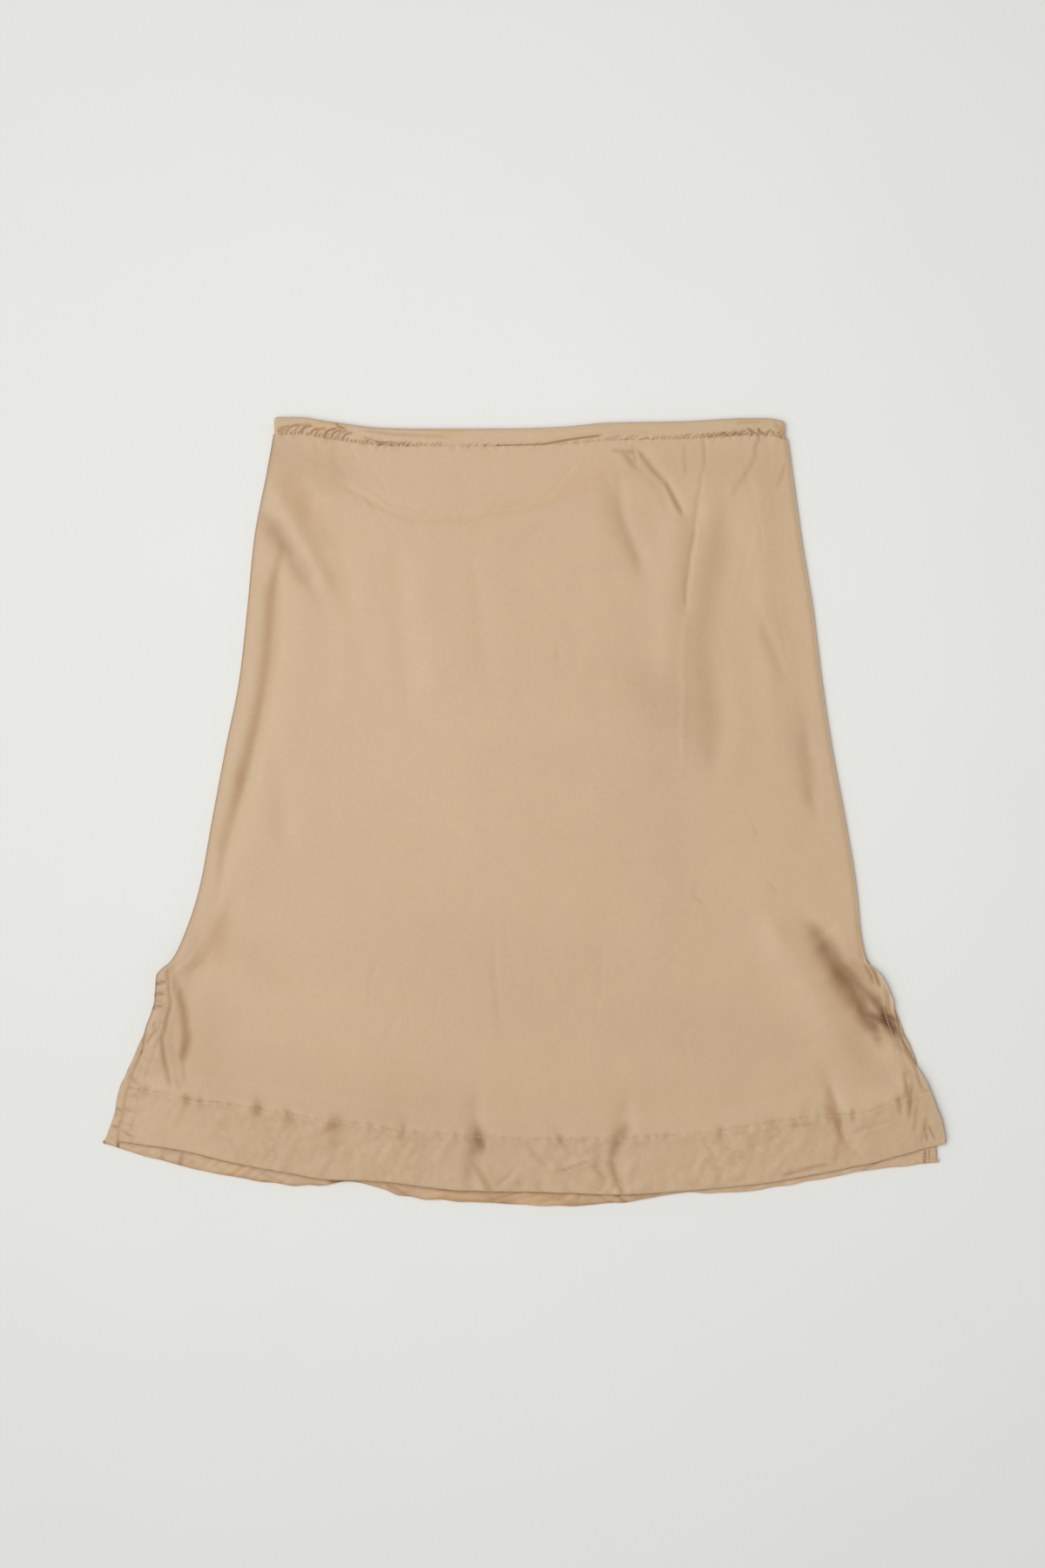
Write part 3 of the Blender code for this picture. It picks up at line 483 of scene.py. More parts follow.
BACK_HEM_CREASES = (
    # Folds of the back hem's strip that shows below the front hem, with painted shade and golden light.
    # x0,   y0,     x1,     y1,  bow, half width, height, bank, shade, warmth
    (-294.6, -245, -294.4, -237.5, 0, 1, -0.6, 0, 0.6, 0),
    (-296, -215, -290, -217, 0.3, 1, -0.4, 0.5, 0.3, 0),
    (-297, -228, -291, -230, 0.3, 1, -0.4, 0.5, 0.3, 0),
    (-262, -250, -259, -256, 0, 1.2, -0.4, 0.5, 0.14, 0.5),
    (-248, -249, -250.5, -262, 0, 1.2, -0.6, 0.5, 0.28, 0.4),
    (-236, -254, -222, -261, -1, 2.4, 0.6, 0, 0, 0.05),
    (-218, -263, -206.5, -256.5, 0.5, 2, 0.8, 0, 0, 1),
    (-212, -263, -204, -257.5, 0.5, 1, -0.5, 0.5, 0.16, 0.8),
    (-190, -262, -176, -268, 0.5, 1.2, -0.4, 0.5, 0.14, 0.2),
    (-150, -272, -90, -274, -1, 3, 1, 0, 0, 0.4),
    (-138, -267.5, -112, -272, 0, 2, -0.6, 0.4, 0.34, 0.3),
    (-98, -271, -84, -279, -0.6, 1.4, -0.6, 0.5, 0.22, 0.6),
    (-60, -276, -28, -281, 0.5, 2.6, 0.7, 0, 0, 1),
    (-66, -279.5, 30, -282, 0, 5, 0, 0, 0.07, 0.75),
    (-22, -280.7, -3.5, -275.6, 0, 1.1, -0.6, 0.4, 0.26, 0.9),
    (-16, -283.5, 8, -278, 0, 1.3, -0.5, 0.4, 0.15, 1),
    (4, -277, 30, -284, 0.5, 2.4, 0.7, 0, 0, 1),
    (10, -284, 22, -278, 0.4, 1, -0.5, 0.5, 0.18, 1),
    (38, -284, 41, -276, 0, 1.1, -0.5, 0.3, 0.16, 0.3),
    (52, -277, 62, -283, 0.4, 1.2, -0.5, 0.4, 0.18, 0.2),
    (66, -276, 73, -283, 0.5, 1.3, -0.6, 0.4, 0.3, 0),
    (80, -279, 96, -277, 0.4, 1.2, -0.4, 0.4, 0.16, 0),
    (112, -277, 128, -274, 0, 1.1, -0.5, 0.3, 0.16, 0),
    (150, -275, 166, -271, 0.4, 1, -0.4, 0.4, 0.12, 0),
    (200, -266, 214, -262, 0.4, 1, -0.4, 0.4, 0.12, 0),
    (244, -260.5, 258, -252, 0.5, 1.1, -0.5, 0.4, 0.28, 0),
    (290.2, -246, 290, -255, 0, 0.9, -0.5, 0.6, 0.5, 0),
    (293.6, -246, 293, -255, 0, 0.9, -0.4, 0.6, 0.22, 0.2),
)

# ---------------------------------------------------------------- colours (linear) and stage
SATIN = (0.5456, 0.3838, 0.2406)
SATIN_INSIDE = (0.523, 0.362, 0.222)
# what warmth mixes in: painted golden light in creases and folds, and elsewhere a golden tint
SATIN_GOLDEN = (0.575, 0.36, 0.18)
SATIN_BLUSH = (0.995, 0.955, 0.965)  # what its pinker patches keep of its colour
SHADE_POWERS = (0.78, 1.03, 1.32)  # satin in shade is lit through satin, so its colour deepens
THREAD = (0.69, 0.525, 0.365)
FLOOR = (0.795, 0.797, 0.77)

PHOTO_CENTRE = (-1.6, 19.9)  # the point under the camera
PHOTO_LONG_SIDE = 1136.5  # what the picture's long side covers
LENS = 70
SENSOR = 36


# ---------------------------------------------------------------- curves, shares and noise
def smooth_curve(points):
    """A function through (place, value) points: cubic between them, and never past their values."""
    places, values = (np.array(column, float) for column in zip(*points))
    spans = np.diff(places)
    slopes = np.diff(values) / spans
    same_way = slopes[:-1] * slopes[1:] > 0
    sums = np.where(same_way, slopes[:-1] + slopes[1:], 1)
    turning = np.where(same_way, 2 * slopes[:-1] * slopes[1:] / sums, 0)
    tangents = np.concatenate([slopes[:1], turning, slopes[-1:]])

    def curve(place):
        place = np.clip(place, places[0], places[-1])
        i = np.clip(np.searchsorted(places, place, side="right") - 1, 0, len(spans) - 1)
        t = (place - places[i]) / spans[i]
        ends = (1 + 2 * t) * (1 - t) ** 2 * values[i] + (3 - 2 * t) * t**2 * values[i + 1]
        pulls = t * (1 - t) ** 2 * tangents[i] - (1 - t) * t**2 * tangents[i + 1]
        return ends + pulls * spans[i]

    return curve


def curves(table):
    """A smooth curve over the first column of a table for each of its other columns."""
    places, *columns = zip(*sorted(table))
    return [smooth_curve(zip(places, values)) for values in columns]


def mix(a, b, share):
    return a + (b - a) * share


def falling(distance, full, none):
    """1 up to the distance `full`, and 0 from `none` on, with a soft slope between."""
    share = np.clip((distance - full) / (none - full), 0, 1)
    return 1 - share * share * (3 - 2 * share)


def bell(distance, width):
    """1 at no distance, down to nearly 0 at twice the width."""
    return np.exp(-((distance / width) ** 2))


def soft_noise(x, y, size, seed):
    """Seeded noise from -1 to 1 whose lumps are about `size` across; size may be (across, along)."""
    lattice = np.random.default_rng(seed).uniform(-1, 1, (256, 256))
    size_x, size_y = size if isinstance(size, tuple) else (size, size)
    x, y = x / size_x + 1000, y / size_y + 1000
    column, row = np.floor(x).astype(int), np.floor(y).astype(int)
    across, along = x - column, y - row
    across, along = across**2 * (3 - 2 * across), along**2 * (3 - 2 * along)
    left, right = column % 256, (column + 1) % 256
    low, high = row % 256, (row + 1) % 256
    bottom = mix(lattice[left, low], lattice[right, low], across)
    top = mix(lattice[left, high], lattice[right, high], across)
    return mix(bottom, top, along)


def crease_line(x, y, x0, y0, x1, y1, bow, half_width):
    """How far beside a bowed line a point is, and 1 along the line down to 0 past its ends."""
    length = np.hypot(x1 - x0, y1 - y0)
    along_x, along_y = (x1 - x0) / length, (y1 - y0) / length
    along = (x - x0) * along_x + (y - y0) * along_y
    beside = (x - x0) * along_y - (y - y0) * along_x
    beside = beside - bow * np.sin(pi * np.clip(along / length, 0, 1))
    past_end = np.maximum(np.maximum(-along, along - length), 0)
    reach = 1.2 * half_width + 0.1 * length
    return beside * (1 + 0.5 * past_end / reach), bell(past_end, reach)


def added_up(x, y, table):
    """What the broad forms of a table add up to, for each of its columns after the half width."""
    totals = np.zeros((len(table[0]) - 6, *x.shape))
    for x0, y0, x1, y1, bow, half_width, *values in table:
        beside, near = crease_line(x, y, x0, y0, x1, y1, bow, half_width)
        totals += np.multiply.outer(values, near * bell(beside, half_width))
    return totals


def creases(x, y, table):
    """What a table of creases adds: its height, its shade and its warmth.

    The deepest, darkest and warmest row counts at each place, so that creases can join end to end.
    """
    ridges, troughs, shade, warmth = np.zeros((4, *x.shape))
    for x0, y0, x1, y1, bow, half_width, rise, bank, dark, warm in table:
        beside, near = crease_line(x, y, x0, y0, x1, y1, bow, half_width)
        on_line = near * bell(beside, half_width)
        off_line = 2 * half_width * (1 if bank > 0 else -1)
        heights = rise * on_line, -rise * abs(bank) * near * bell(beside - off_line, 1.4 * half_width)
        ridges = np.maximum(ridges, np.maximum(*heights))
        troughs = np.minimum(troughs, np.minimum(*heights))
        shade = np.maximum(shade, dark * on_line)
        warmth = np.maximum(warmth, warm * near * bell(beside, 1.6 * half_width))
    return ridges + troughs, shade, warmth


def loop_rows(table):
    """The rows of creases that a table of loops stands for, as uneven as by hand."""
    rows = []
    chance = np.random.default_rng(9)
    for first, last, pitch, low, high, lean, bow, half_width, rise, shade in table:
        for x in np.arange(first, last, pitch):
            x, size, strength = x + chance.uniform(-0.3, 0.3) * pitch, *chance.uniform(0.6, 1.2, 2)
            seam = waist_line(x) - CASING_DEPTH
            end = (x + lean * size, seam + low + (high - low) * size)
            rows.append((x, seam + low, *end, bow * size, half_width, rise, 0.5, shade * strength, 0.2))
    return rows


def faint_rows(table):
    """The rows of creases that the table of faint creases stands for."""
    rows = []
    chance = np.random.default_rng(17)
    for x, y, spread_x, spread_y, number, angle, length in table:
        for _ in range(number):
            x0, y0 = x + spread_x * chance.uniform(-1, 1), y + spread_y * chance.uniform(-1, 1)
            turn, size = angle + chance.uniform(-0.5, 0.5), length * chance.uniform(0.5, 1.2)
            end = (x0 + size * np.cos(turn), y0 + size * np.sin(turn))
            depth, half_width = chance.uniform(-0.13, -0.05), chance.uniform(1, 2.2)
            rows.append((x0, y0, *end, chance.uniform(-1.5, 1.5), half_width, depth, 0.5, 0.015, 0))
    return rows


def unruled(x, y):
    """Places moved to and fro, so that no crease runs as if ruled, and how strong creases are there."""
    strength = 1 + 0.35 * soft_noise(x, y, (9, 12), 75)
    moved_x = x + 0.9 * soft_noise(x, y, (14, 17), 71) + 0.4 * soft_noise(x, y, 5.5, 72)
    return moved_x, y + 0.8 * soft_noise(x, y, (15, 13), 73), strength


def lifted_clear(height):
    """The height over the layer below, eased so that no trough goes into that layer."""
    return 0.5 * (height + np.hypot(height, 0.3))


# ---------------------------------------------------------------- outline and heights
waist_line = smooth_curve(WAIST)
hem_depth = smooth_curve(HEM_DEPTHS)
gather_strength, gather_reach, gather_shade = curves(GATHERS)
seam_left, seam_right = curves(SLIT_SEAMS)


def panel_top(x):
    """Where the panels start, at the casing's stitched edge."""
    return waist_line(x) - CASING_DEPTH - SEAM_LINE


def roll_share(y, ends_above=0):
    """1 where the sides are rolled, down to 0 so far above the slit tops."""
    return 1 - falling(y - SLIT_TOP - ends_above, 0, ROLL_ENDS)


def gathers(x, up):
    """Height and shade of the ruffles at the casing's edge; `up` is the distance above its stitches."""
    reach = np.where(up > 0, gather_reach(x), 5)
    near = bell(up, 0.6 * reach)
    curl = soft_noise(x, up, (13, 5), 3)
    across = x - 0.55 * up + 2.2 * curl
    along = up + 1.6 * soft_noise(x, up, (8, 6), 4)
    lumps = soft_noise(across, along, (2.9, 4.4), 5) + 0.55 * soft_noise(across, along, (1.7, 2.4), 6)
    patchy = np.clip(0.55 + 1.1 * soft_noise(x, up, (11, 30), 7), 0, 1.2)
    height = GATHER_HEIGHT * gather_strength(x) * near * lumps * (0.5 + 0.6 * patchy)
    hollow = bell(lumps + 0.25, 0.22)
    low = bell(up - 0.22 * reach, 0.34 * reach + 0.5)
    at_edge = bell(up - 0.4, 0.8) * np.clip(0.5 + 1.4 * soft_noise(x, 0 * x, 1.9, 8), 0, 1)
    shade = gather_shade(x) * np.where(up > -0.6, 1, 0.35) * (low * hollow * patchy + 0.45 * at_edge)
    return height, np.minimum(shade, 0.75)


def hem_puckers(x, above_line):
    """Height, shade and warmth of the dents across the hem's stitches."""
    height, shade, warmth = np.zeros((3, *x.shape))
    ragged = 1 + 0.55 * soft_noise(x, above_line, (3, 6), 13)
    for place, half_width, up, down, lean, depth, dark, warm in HEM_PUCKERS:
        reach = np.where(above_line > 0, up, down)
        middle = place + lean * above_line
        widening = half_width * (1 + 0.035 * np.abs(above_line))
        dent = ragged * bell(x - middle, widening) * bell(above_line, reach)
        height -= depth * dent
        shade += dark * dent
        warmth += warm * dent
    on_line = bell(above_line, 4)
    small = soft_noise(x, above_line, (2.9, 7), 11) * on_line
    groove = bell(above_line, 0.9)
    dots = groove * np.clip(0.5 + 1.3 * soft_noise(x, 0 * x, 2.1, 14), 0, 1.3)
    shade = shade + 0.15 * dots + 0.1 * np.clip(-small, 0, 1)
    return height + 0.22 * small - 0.22 * groove, shade, warmth


def slit_puckers(y, from_line):
    """Height and shade of the small dents along a slit's stitches."""
    small = soft_noise(from_line, y, (7, 3.4), 12) * bell(from_line, 4)
    groove = bell(from_line, 0.8) * (0.6 + 0.6 * soft_noise(y, 0 * y, 5, 15))
    return 0.34 * small - 0.2 * groove, 0.13 * groove + 0.1 * np.clip(-small, 0, 1)


def crumples(x, y):
    """Height, painted shade and painted golden light of the small folds where the cloth is double, in the
    hem and the bands.
    """
    across, along = x + 0.7 * y, y - 0.4 * x
    broad = 0.34 * soft_noise(across, along, (15, 9), 21)
    folds = np.abs(soft_noise(x - 0.6 * y, y + 0.6 * x, (8, 13), 22))
    small = np.abs(soft_noise(x + 0.5 * y, y - 0.5 * x, (4.6, 8.5), 24))
    fine = soft_noise(x - 0.3 * y, y, (2.8, 3.6), 25)
    patchy = 0.65 + 0.55 * soft_noise(x, y, 50, 23)
    height = 1.3 * broad + 0.95 * (folds - 0.3) + 0.46 * (small - 0.3) + 0.08 * fine
    valley = patchy * (bell(folds, 0.09) + 0.7 * bell(small, 0.1))
    hollow = 0.03 * np.clip(-soft_noise(x + 0.5 * y, y - 0.3 * x, (20, 12), 26), 0, 1)
    return patchy * height, 0.07 * valley + hollow, 0.35 * valley


def front_height(x, y, to_edge, to_hem, to_waist):
    """The outer side of the front panel, away from its rolled edges: height, shade and warmth."""
    rolled = roll_share(y)
    over_turning = (1 - rolled) * falling(to_edge, TURNING + GAP, TURNING_FADE)
    above_stitches = to_hem - hem_depth(x)
    over_hem = falling(above_stitches, 0, HEM_FADE)
    layers = 1 - (1 - over_turning) * (1 - over_hem)
    lying = WALL + LAYER + 2 * LAYER * layers
    air = AIR * mix(1, AIR_OVER_TURNING, over_turning)
    side = (ROLL_TOP - lying - air) * rolled * falling(to_edge, ROLL_WIDTH, ROLL_FADE)
    at_waist = (WAIST_LEVEL - lying - air) * falling(to_waist, 0, WAIST_FADE)
    raised = air + added_up(x, y, FRONT_FOLDS)[0] * (1 - over_turning) + np.maximum(side, at_waist)

    moved_x, moved_y, strength = unruled(x, y)
    creased, shade, warmth = creases(moved_x, moved_y, CREASES)
    creased, shade = creased * strength, shade * (0.6 + 0.4 * strength)
    faint, faint_dark, _ = creases(x, y, faint_rows(FAINT_CREASES))
    soft_dark, soft_warm = added_up(moved_x, moved_y, SOFT_SHADES)
    gathered, gather_dark = gathers(x, -to_waist)
    puckered, pucker_dark, pucker_warm = hem_puckers(x, above_stitches)
    below_slit = falling(y, SLIT_TOP - 6, SLIT_TOP - 2)
    slit, slit_dark = slit_puckers(y, to_edge - np.where(x < 0, seam_left(y), seam_right(y)))
    in_hem = falling(above_stitches, -3, 0)
    in_band = (1 - rolled) * falling(to_edge, TURNING - 1, TURNING + 2)
    crumpled, crumple_dark, crumple_warm = crumples(x, y)
    double = np.maximum(in_hem, 0.8 * in_band)
    easy = 0.2 * soft_noise(x, y, (34, 80), 31) + 0.08 * soft_noise(x, y, (13, 30), 32)
    easy = easy * falling(-to_waist, -30, -4) * falling(-to_edge, -26, -12)
    raised = raised + creased + faint + gathered + puckered + below_slit * slit + easy
    raised = raised + crumpled * double
    # painted shade as a thin line along the left edge and painted light along the right one, weaker down
    # the slits, and painted shade just inside both sides
    outline = np.where(x < 0, *EDGE_SHADES) * bell(to_edge, EDGE_SHADE_WIDTH)
    outline = outline * mix(EDGE_SHADE_LEFT, 1, np.maximum(rolled, falling(-y, *EDGE_SHADE_ENDS)))
    inside = bell(to_edge - 2.4, 1.5) * rolled
    outline = outline + np.where(x < 0, *INSIDE_SHADES) * inside
    shade = shade + faint_dark + soft_dark + gather_dark + pucker_dark + below_slit * slit_dark + outline
    shade = shade + HEM_SHADE * np.maximum(in_hem, 0.6 * in_band) + crumple_dark * double
    warmth = warmth + soft_warm + pucker_warm + crumple_warm * double
    return lying + lifted_clear(raised), shade, warmth


def plain(x, *_):
    """No height, shade or warmth: the outer side of the back panel, which lies flat."""
    return np.zeros((3, *x.shape))


# ---------------------------------------------------------------- panels as grids of points
def spread(count, density):
    """`count` places from 0 to 1, closer together where the density is higher."""
    places = np.linspace(0, 1, 1001)
    total = np.concatenate([[0], np.cumsum(density(places))[:-1]])
    return np.interp(np.linspace(0, 1, count), total / total[-1], places)


class Panel:
    """The outline and the grid of a panel, whose columns run from the waist to the hem."""

    def __init__(self, slit_edges, hem, middle_columns, rows, roll_ends_above, seam, inwards):
        self.left_curve, self.right_curve = curves(SIDE_SEAMS + slit_edges)
        self.hem_curve = smooth_curve(hem)
        self.rows = rows  # near the waist, in the middle, near the hem's stitches, in the hem and turned up
        self.roll_ends_above = roll_ends_above
        self.seam = seam  # the roll's height at its edge
        self.inwards = inwards  # +1 where the inner side faces up, -1 where it faces down

        turn = np.linspace(0, pi / 2, ROLL_POINTS)
        self.risen = np.concatenate([[0], SEAM_STEP + (1 - SEAM_STEP) * np.sin(turn)])
        rolled = np.concatenate([[0], ROLL_WIDTH * (1 - np.cos(turn))])
        folded = np.linspace(0, pi / 2, ROLL_POINTS + 1)
        flat = HEM_RADIUS * (1 - np.cos(folded))
        self.drop = HEM_RADIUS * (1 - np.sin(folded))
        self.rolled = np.concatenate([rolled, np.linspace(ROLL_WIDTH, EDGE, EDGE_POINTS)[1:]])
        self.flat = np.concatenate([flat, np.linspace(HEM_RADIUS, EDGE, EDGE_POINTS)[1:]])
        self.edge = len(self.flat)
        self.columns = middle_columns + 2 * self.edge
        self.middle = (np.arange(middle_columns) + 1) / (middle_columns + 1)

    def uneven(self, y, seed):
        """How far a slit's edge strays from its smooth line."""
        below = falling(y, SLIT_TOP - 22, SLIT_TOP - 12)
        return SLIT_UNEVEN * below * soft_noise(y, 0 * y, 6, seed + self.inwards)

    def left(self, y):
        return self.left_curve(y) + self.uneven(y, 81)

    def right(self, y):
        return self.right_curve(y) + self.uneven(y, 84)

    def hem(self, x):
        return self.hem_curve(x) + HEM_UNEVEN[self.inwards] * soft_noise(x, 0 * x, 12, 87 + self.inwards)

    def across(self, y):
        """The x of every column at its own height y on the page; y's last axis is the columns."""
        left, right = self.left(y), self.right(y)
        share = roll_share(y, self.roll_ends_above)
        x = np.empty_like(y)
        inset = mix(self.flat, self.rolled, share[..., : self.edge])
        x[..., : self.edge] = left[..., : self.edge] + inset
        inset = mix(self.flat, self.rolled, share[..., : -self.edge - 1 : -1])
        x[..., : -self.edge - 1 : -1] = right[..., : -self.edge - 1 : -1] - inset
        middle = slice(self.edge, -self.edge)
        first, last = left[..., middle] + EDGE, right[..., middle] - EDGE
        x[..., middle] = mix(first, last, self.middle)
        return x

    def meet(self, line):
        """The height on the page at which each column meets a line across the skirt, such as a hem."""
        y = np.full(self.columns, float(line(0)))
        for _ in range(8):
            y = line(self.across(y))
        return y

    def row_places(self, top, hem):
        """The height on the page of every row, for every column, from the casing to the hem's fold."""
        waist_rows, middle_rows, stitch_rows, hem_rows, _ = self.rows
        near_waist = top - np.linspace(0, NEAR_WAIST, waist_rows)[:, None]
        stitches = hem_depth(self.across(hem))
        stitch_top, stitch_end = stitches + NEAR_STITCHES, stitches - NEAR_STITCHES
        places = spread(middle_rows + 2, smooth_curve(ROW_DENSITY))[1:-1, None]
        in_middle = mix(top - NEAR_WAIST, hem + stitch_top, places)
        near_stitches = hem + np.linspace(stitch_top, stitch_end, stitch_rows)
        in_hem = hem + np.linspace(stitch_end, HEM_RADIUS, hem_rows + 1)[1:]
        return np.concatenate([near_waist, in_middle, near_stitches, in_hem])

    def roll_edges(self, y, z):
        """Bends the edge columns round the side roll, or below the slit tops round a small fold."""
        share = roll_share(y, self.roll_ends_above)
        count = len(self.risen)
        for columns in (slice(0, count), slice(-1, -count - 1, -1)):
            flat = z[:, columns] + self.inwards * self.drop
            rolled = mix(self.seam, z[:, columns], self.risen)
            z[:, columns] = mix(flat, rolled, share[:, columns])
        return z


SLIT_UNEVEN = 0.45
HEM_UNEVEN = {-1: 0.25, 1: 0.7}  # of the front hem and the back hem
NEAR_WAIST = 50
NEAR_STITCHES = 9
ROW_DENSITY = (
    # Rows are closer near the waist's creases and the slit tops.
    # share of the way down, density
    (0, 1.6), (0.2, 1.1), (0.6, 0.9), (0.7, 1.9), (0.95, 2), (1, 1.3),
)
FRONT = Panel(FRONT_SLIT_EDGES, FRONT_HEM, 282, (40, 160, 17, 20, 7), 0, SEAM_HEIGHT + GAP / 2, -1)
BACK = Panel(
    BACK_SLIT_EDGES, BACK_HEM, 327, (4, 86, 6, 24, 25), BACK_ROLL_ENDS_ABOVE, SEAM_HEIGHT - GAP / 2, 1
)
FOLD_STEPS = 6
STRIP_SHADE = 0.02
STRIP_RIM_SHADE = 0.15
UNDER_HEM_SHADE = 0.3
STRIP_WARMTH = 0.15
TURNED_UP_COLUMNS = 18  # the turned-up hem starts this many columns in, under the slit's turned-in edge


def back_strip(x, y):
    """What lifts the back hem's strip where it shows below the front hem or beside the front panel."""
    below = FRONT.hem(x) - y
    shown = 1 - falling(below, -0.5, 0.8)
    height, shade, warmth = creases(x, y, BACK_HEM_CREASES)
    broad = soft_noise(x + 0.8 * y, y, (16, 9), 41)
    small = np.abs(soft_noise(x - 1.4 * y, y, (6, 9), 42))
    lift = 0.8 * broad + (small - 0.3)
    valley = bell(small, 0.12) * np.clip(0.5 + soft_noise(x, y, 30, 43), 0, 1)
    shade = shade + STRIP_SHADE + 0.16 * valley + 0.1 * np.clip(-broad, 0, 1)
    wide = falling(x, 60, 130)  # the strip is narrower on the right, where its painted shade is weaker and a little painted light is added
    ragged = np.clip(0.6 + 0.8 * soft_noise(x, 0 * x, 18, 44), 0, 1.2)
    rim = ragged * bell(y - BACK.hem(x) - 1, 1.3)
    # painted shadow under the front hem's edge, and painted shade along the strip's lower rim
    shade = shade + (0.4 + 0.6 * wide) * UNDER_HEM_SHADE * bell(below - 0.7, 1.3)
    shade = shade + (0.1 + 0.9 * wide) * STRIP_RIM_SHADE * rim - 0.05 * (1 - wide)
    warmth = warmth + 0.25 * valley + STRIP_WARMTH
    return np.maximum(height + lift + 0.3, 0) * shown, shade * shown, warmth * shown


def panel_points(panel, height_at, on_turned_up):
    """The outer side, the hem's fold and the turned-up hem as grids: points, shade and warmth."""
    top, hem = panel.meet(panel_top), panel.meet(panel.hem)
    y = panel.row_places(top, hem)
    x = panel.across(y)
    to_edge = np.minimum(x - panel.left(y), panel.right(y) - x)
    z, shade, warmth = height_at(x, y, to_edge, y - hem, top - y)
    z = panel.roll_edges(y, z)

    turns = pi * np.arange(1, FOLD_STEPS + 1)[:, None] / FOLD_STEPS
    fold_y = y[-1] - HEM_RADIUS * np.sin(turns)
    fold_z = z[-1] + panel.inwards * HEM_RADIUS * (1 - np.cos(turns))
    fold_x = np.repeat(x[-1:], FOLD_STEPS, axis=0)

    hem_start = len(y) - panel.rows[3] - panel.rows[2] // 2
    rows = np.linspace(len(y) - 2, hem_start, panel.rows[4]).round().astype(int)
    over_turning = np.minimum(np.arange(panel.columns), np.arange(panel.columns)[::-1])
    reach = np.where(over_turning < TURNED_UP_COLUMNS, 0.04, 1)
    up_y = mix(y[-1], y[rows], reach)
    up_x = mix(x[-1], x[rows], reach)
    up_z = mix(z[-1], z[rows], reach) + panel.inwards * 2 * HEM_RADIUS
    up_lift, up_shade, up_warmth = on_turned_up(up_x, up_y)
    fold_lift, fold_shade, fold_warmth = on_turned_up(fold_x, fold_y)
    fold_z = fold_z + fold_lift * (1 - np.cos(turns)) / 2

    panel_part, fold_part = (x, y, z, shade, warmth), (fold_x, fold_y, fold_z, fold_shade, fold_warmth)
    up_part = (up_x, up_y, up_z + up_lift, up_shade, up_warmth)
    x, y, z, shade, warmth = (np.concatenate(rows) for rows in zip(panel_part, fold_part, up_part))
    return np.stack([x, y, z], axis=-1), shade, warmth


# ---------------------------------------------------------------- mesh helpers
def to_metres(points):
    return (np.asarray(points) * MM).tolist()


def placed(name, data, place=(0, 0, 0), turned=(0, 0, 0)):
    """A new object in the scene."""
    thing = bpy.data.objects.new(name, data)
    thing.location = place
    thing.rotation_euler = turned
    bpy.context.scene.collection.objects.link(thing)
    return thing


def add_mesh(name, points, faces, material, shade=None, warmth=None):
    mesh = bpy.data.meshes.new(name)
    mesh.from_pydata(to_metres(points), [], [tuple(int(i) for i in face) for face in faces])
    mesh.validate()
    mesh.shade_smooth()
    mesh.set_sharp_from_angle(angle=SHARP_ANGLE)
    for look, values in (("shade", shade), ("warmth", warmth)):
        layer = mesh.attributes.new(look, "FLOAT", "POINT")
        if values is not None:
            layer.data.foreach_set("value", np.asarray(values, dtype=np.float32).ravel())
    mesh.materials.append(material)
    return placed(name, mesh)


def grid_faces(rows, columns, start=0):
    """Quads of a grid whose points are numbered row by row."""
    corner = start + (np.arange(rows - 1)[:, None] * columns + np.arange(columns - 1)).ravel()
    return np.stack([corner, corner + columns, corner + columns + 1, corner + 1], axis=1)


def grid_normals(grid):
    """Unit normals of a grid of points, from the differences to their neighbours."""
    down = np.gradient(grid, axis=0)
    across = np.gradient(grid, axis=1)
    normal = np.cross(down, across)
    length = np.linalg.norm(normal, axis=-1, keepdims=True)
    return normal / np.maximum(length, 1e-9)


def rim_faces(outer_line, inner_line, reverse):
    """Faces between a fine border and the coarse border inside it, a face for each coarse step."""
    faces = []
    for step in range(len(inner_line) - 1):
        fine = outer_line[step * COARSE : (step + 1) * COARSE + 1]
        face = [*fine, inner_line[step + 1], inner_line[step]]
        faces.append(face[::-1] if reverse else face)
    return faces


def shell(grid, shade, warmth, facing_up):
    """A closed shell one wall thick: a fine outer side, a coarse inner side and the rim between them."""
    rows = (grid.shape[0] - 1) // COARSE * COARSE + 1
    columns = (grid.shape[1] - 1) // COARSE * COARSE + 1
    assert (rows, columns) == grid.shape[:2], grid.shape
    coarse = grid[::COARSE, ::COARSE]
    sign = 1 if facing_up else -1
    inner = coarse - sign * WALL * grid_normals(coarse)
    outer_index = np.arange(rows * columns).reshape(rows, columns)
    inner_index = rows * columns + np.arange(inner[..., 0].size).reshape(inner.shape[:2])
    outer_faces = grid_faces(rows, columns)
    inner_faces = grid_faces(*inner.shape[:2], start=rows * columns)
    if facing_up:
        inner_faces = inner_faces[:, ::-1]
    else:
        outer_faces = outer_faces[:, ::-1]
    faces = [tuple(face) for face in outer_faces] + [tuple(face) for face in inner_faces]
    faces += rim_faces(outer_index[0], inner_index[0], not facing_up)
    faces += rim_faces(outer_index[-1], inner_index[-1], facing_up)
    faces += rim_faces(outer_index[:, 0], inner_index[:, 0], facing_up)
    faces += rim_faces(outer_index[:, -1], inner_index[:, -1], not facing_up)
    points = np.concatenate([grid.reshape(-1, 3), inner.reshape(-1, 3)])
    shade = np.concatenate([shade.ravel(), shade[::COARSE, ::COARSE].ravel()])
    warmth = np.concatenate([warmth.ravel(), warmth[::COARSE, ::COARSE].ravel()])
    return points, faces, shade, warmth


# ---------------------------------------------------------------- materials
def set_inputs(tree, node, inputs):
    """Sets a node's inputs, by name or number, to a value or to another node's output."""
    for name, value in inputs.items():
        socket = node.inputs[name]
        if isinstance(value, bpy.types.NodeSocket):
            tree.links.new(value, socket)
        else:
            socket.default_value = value


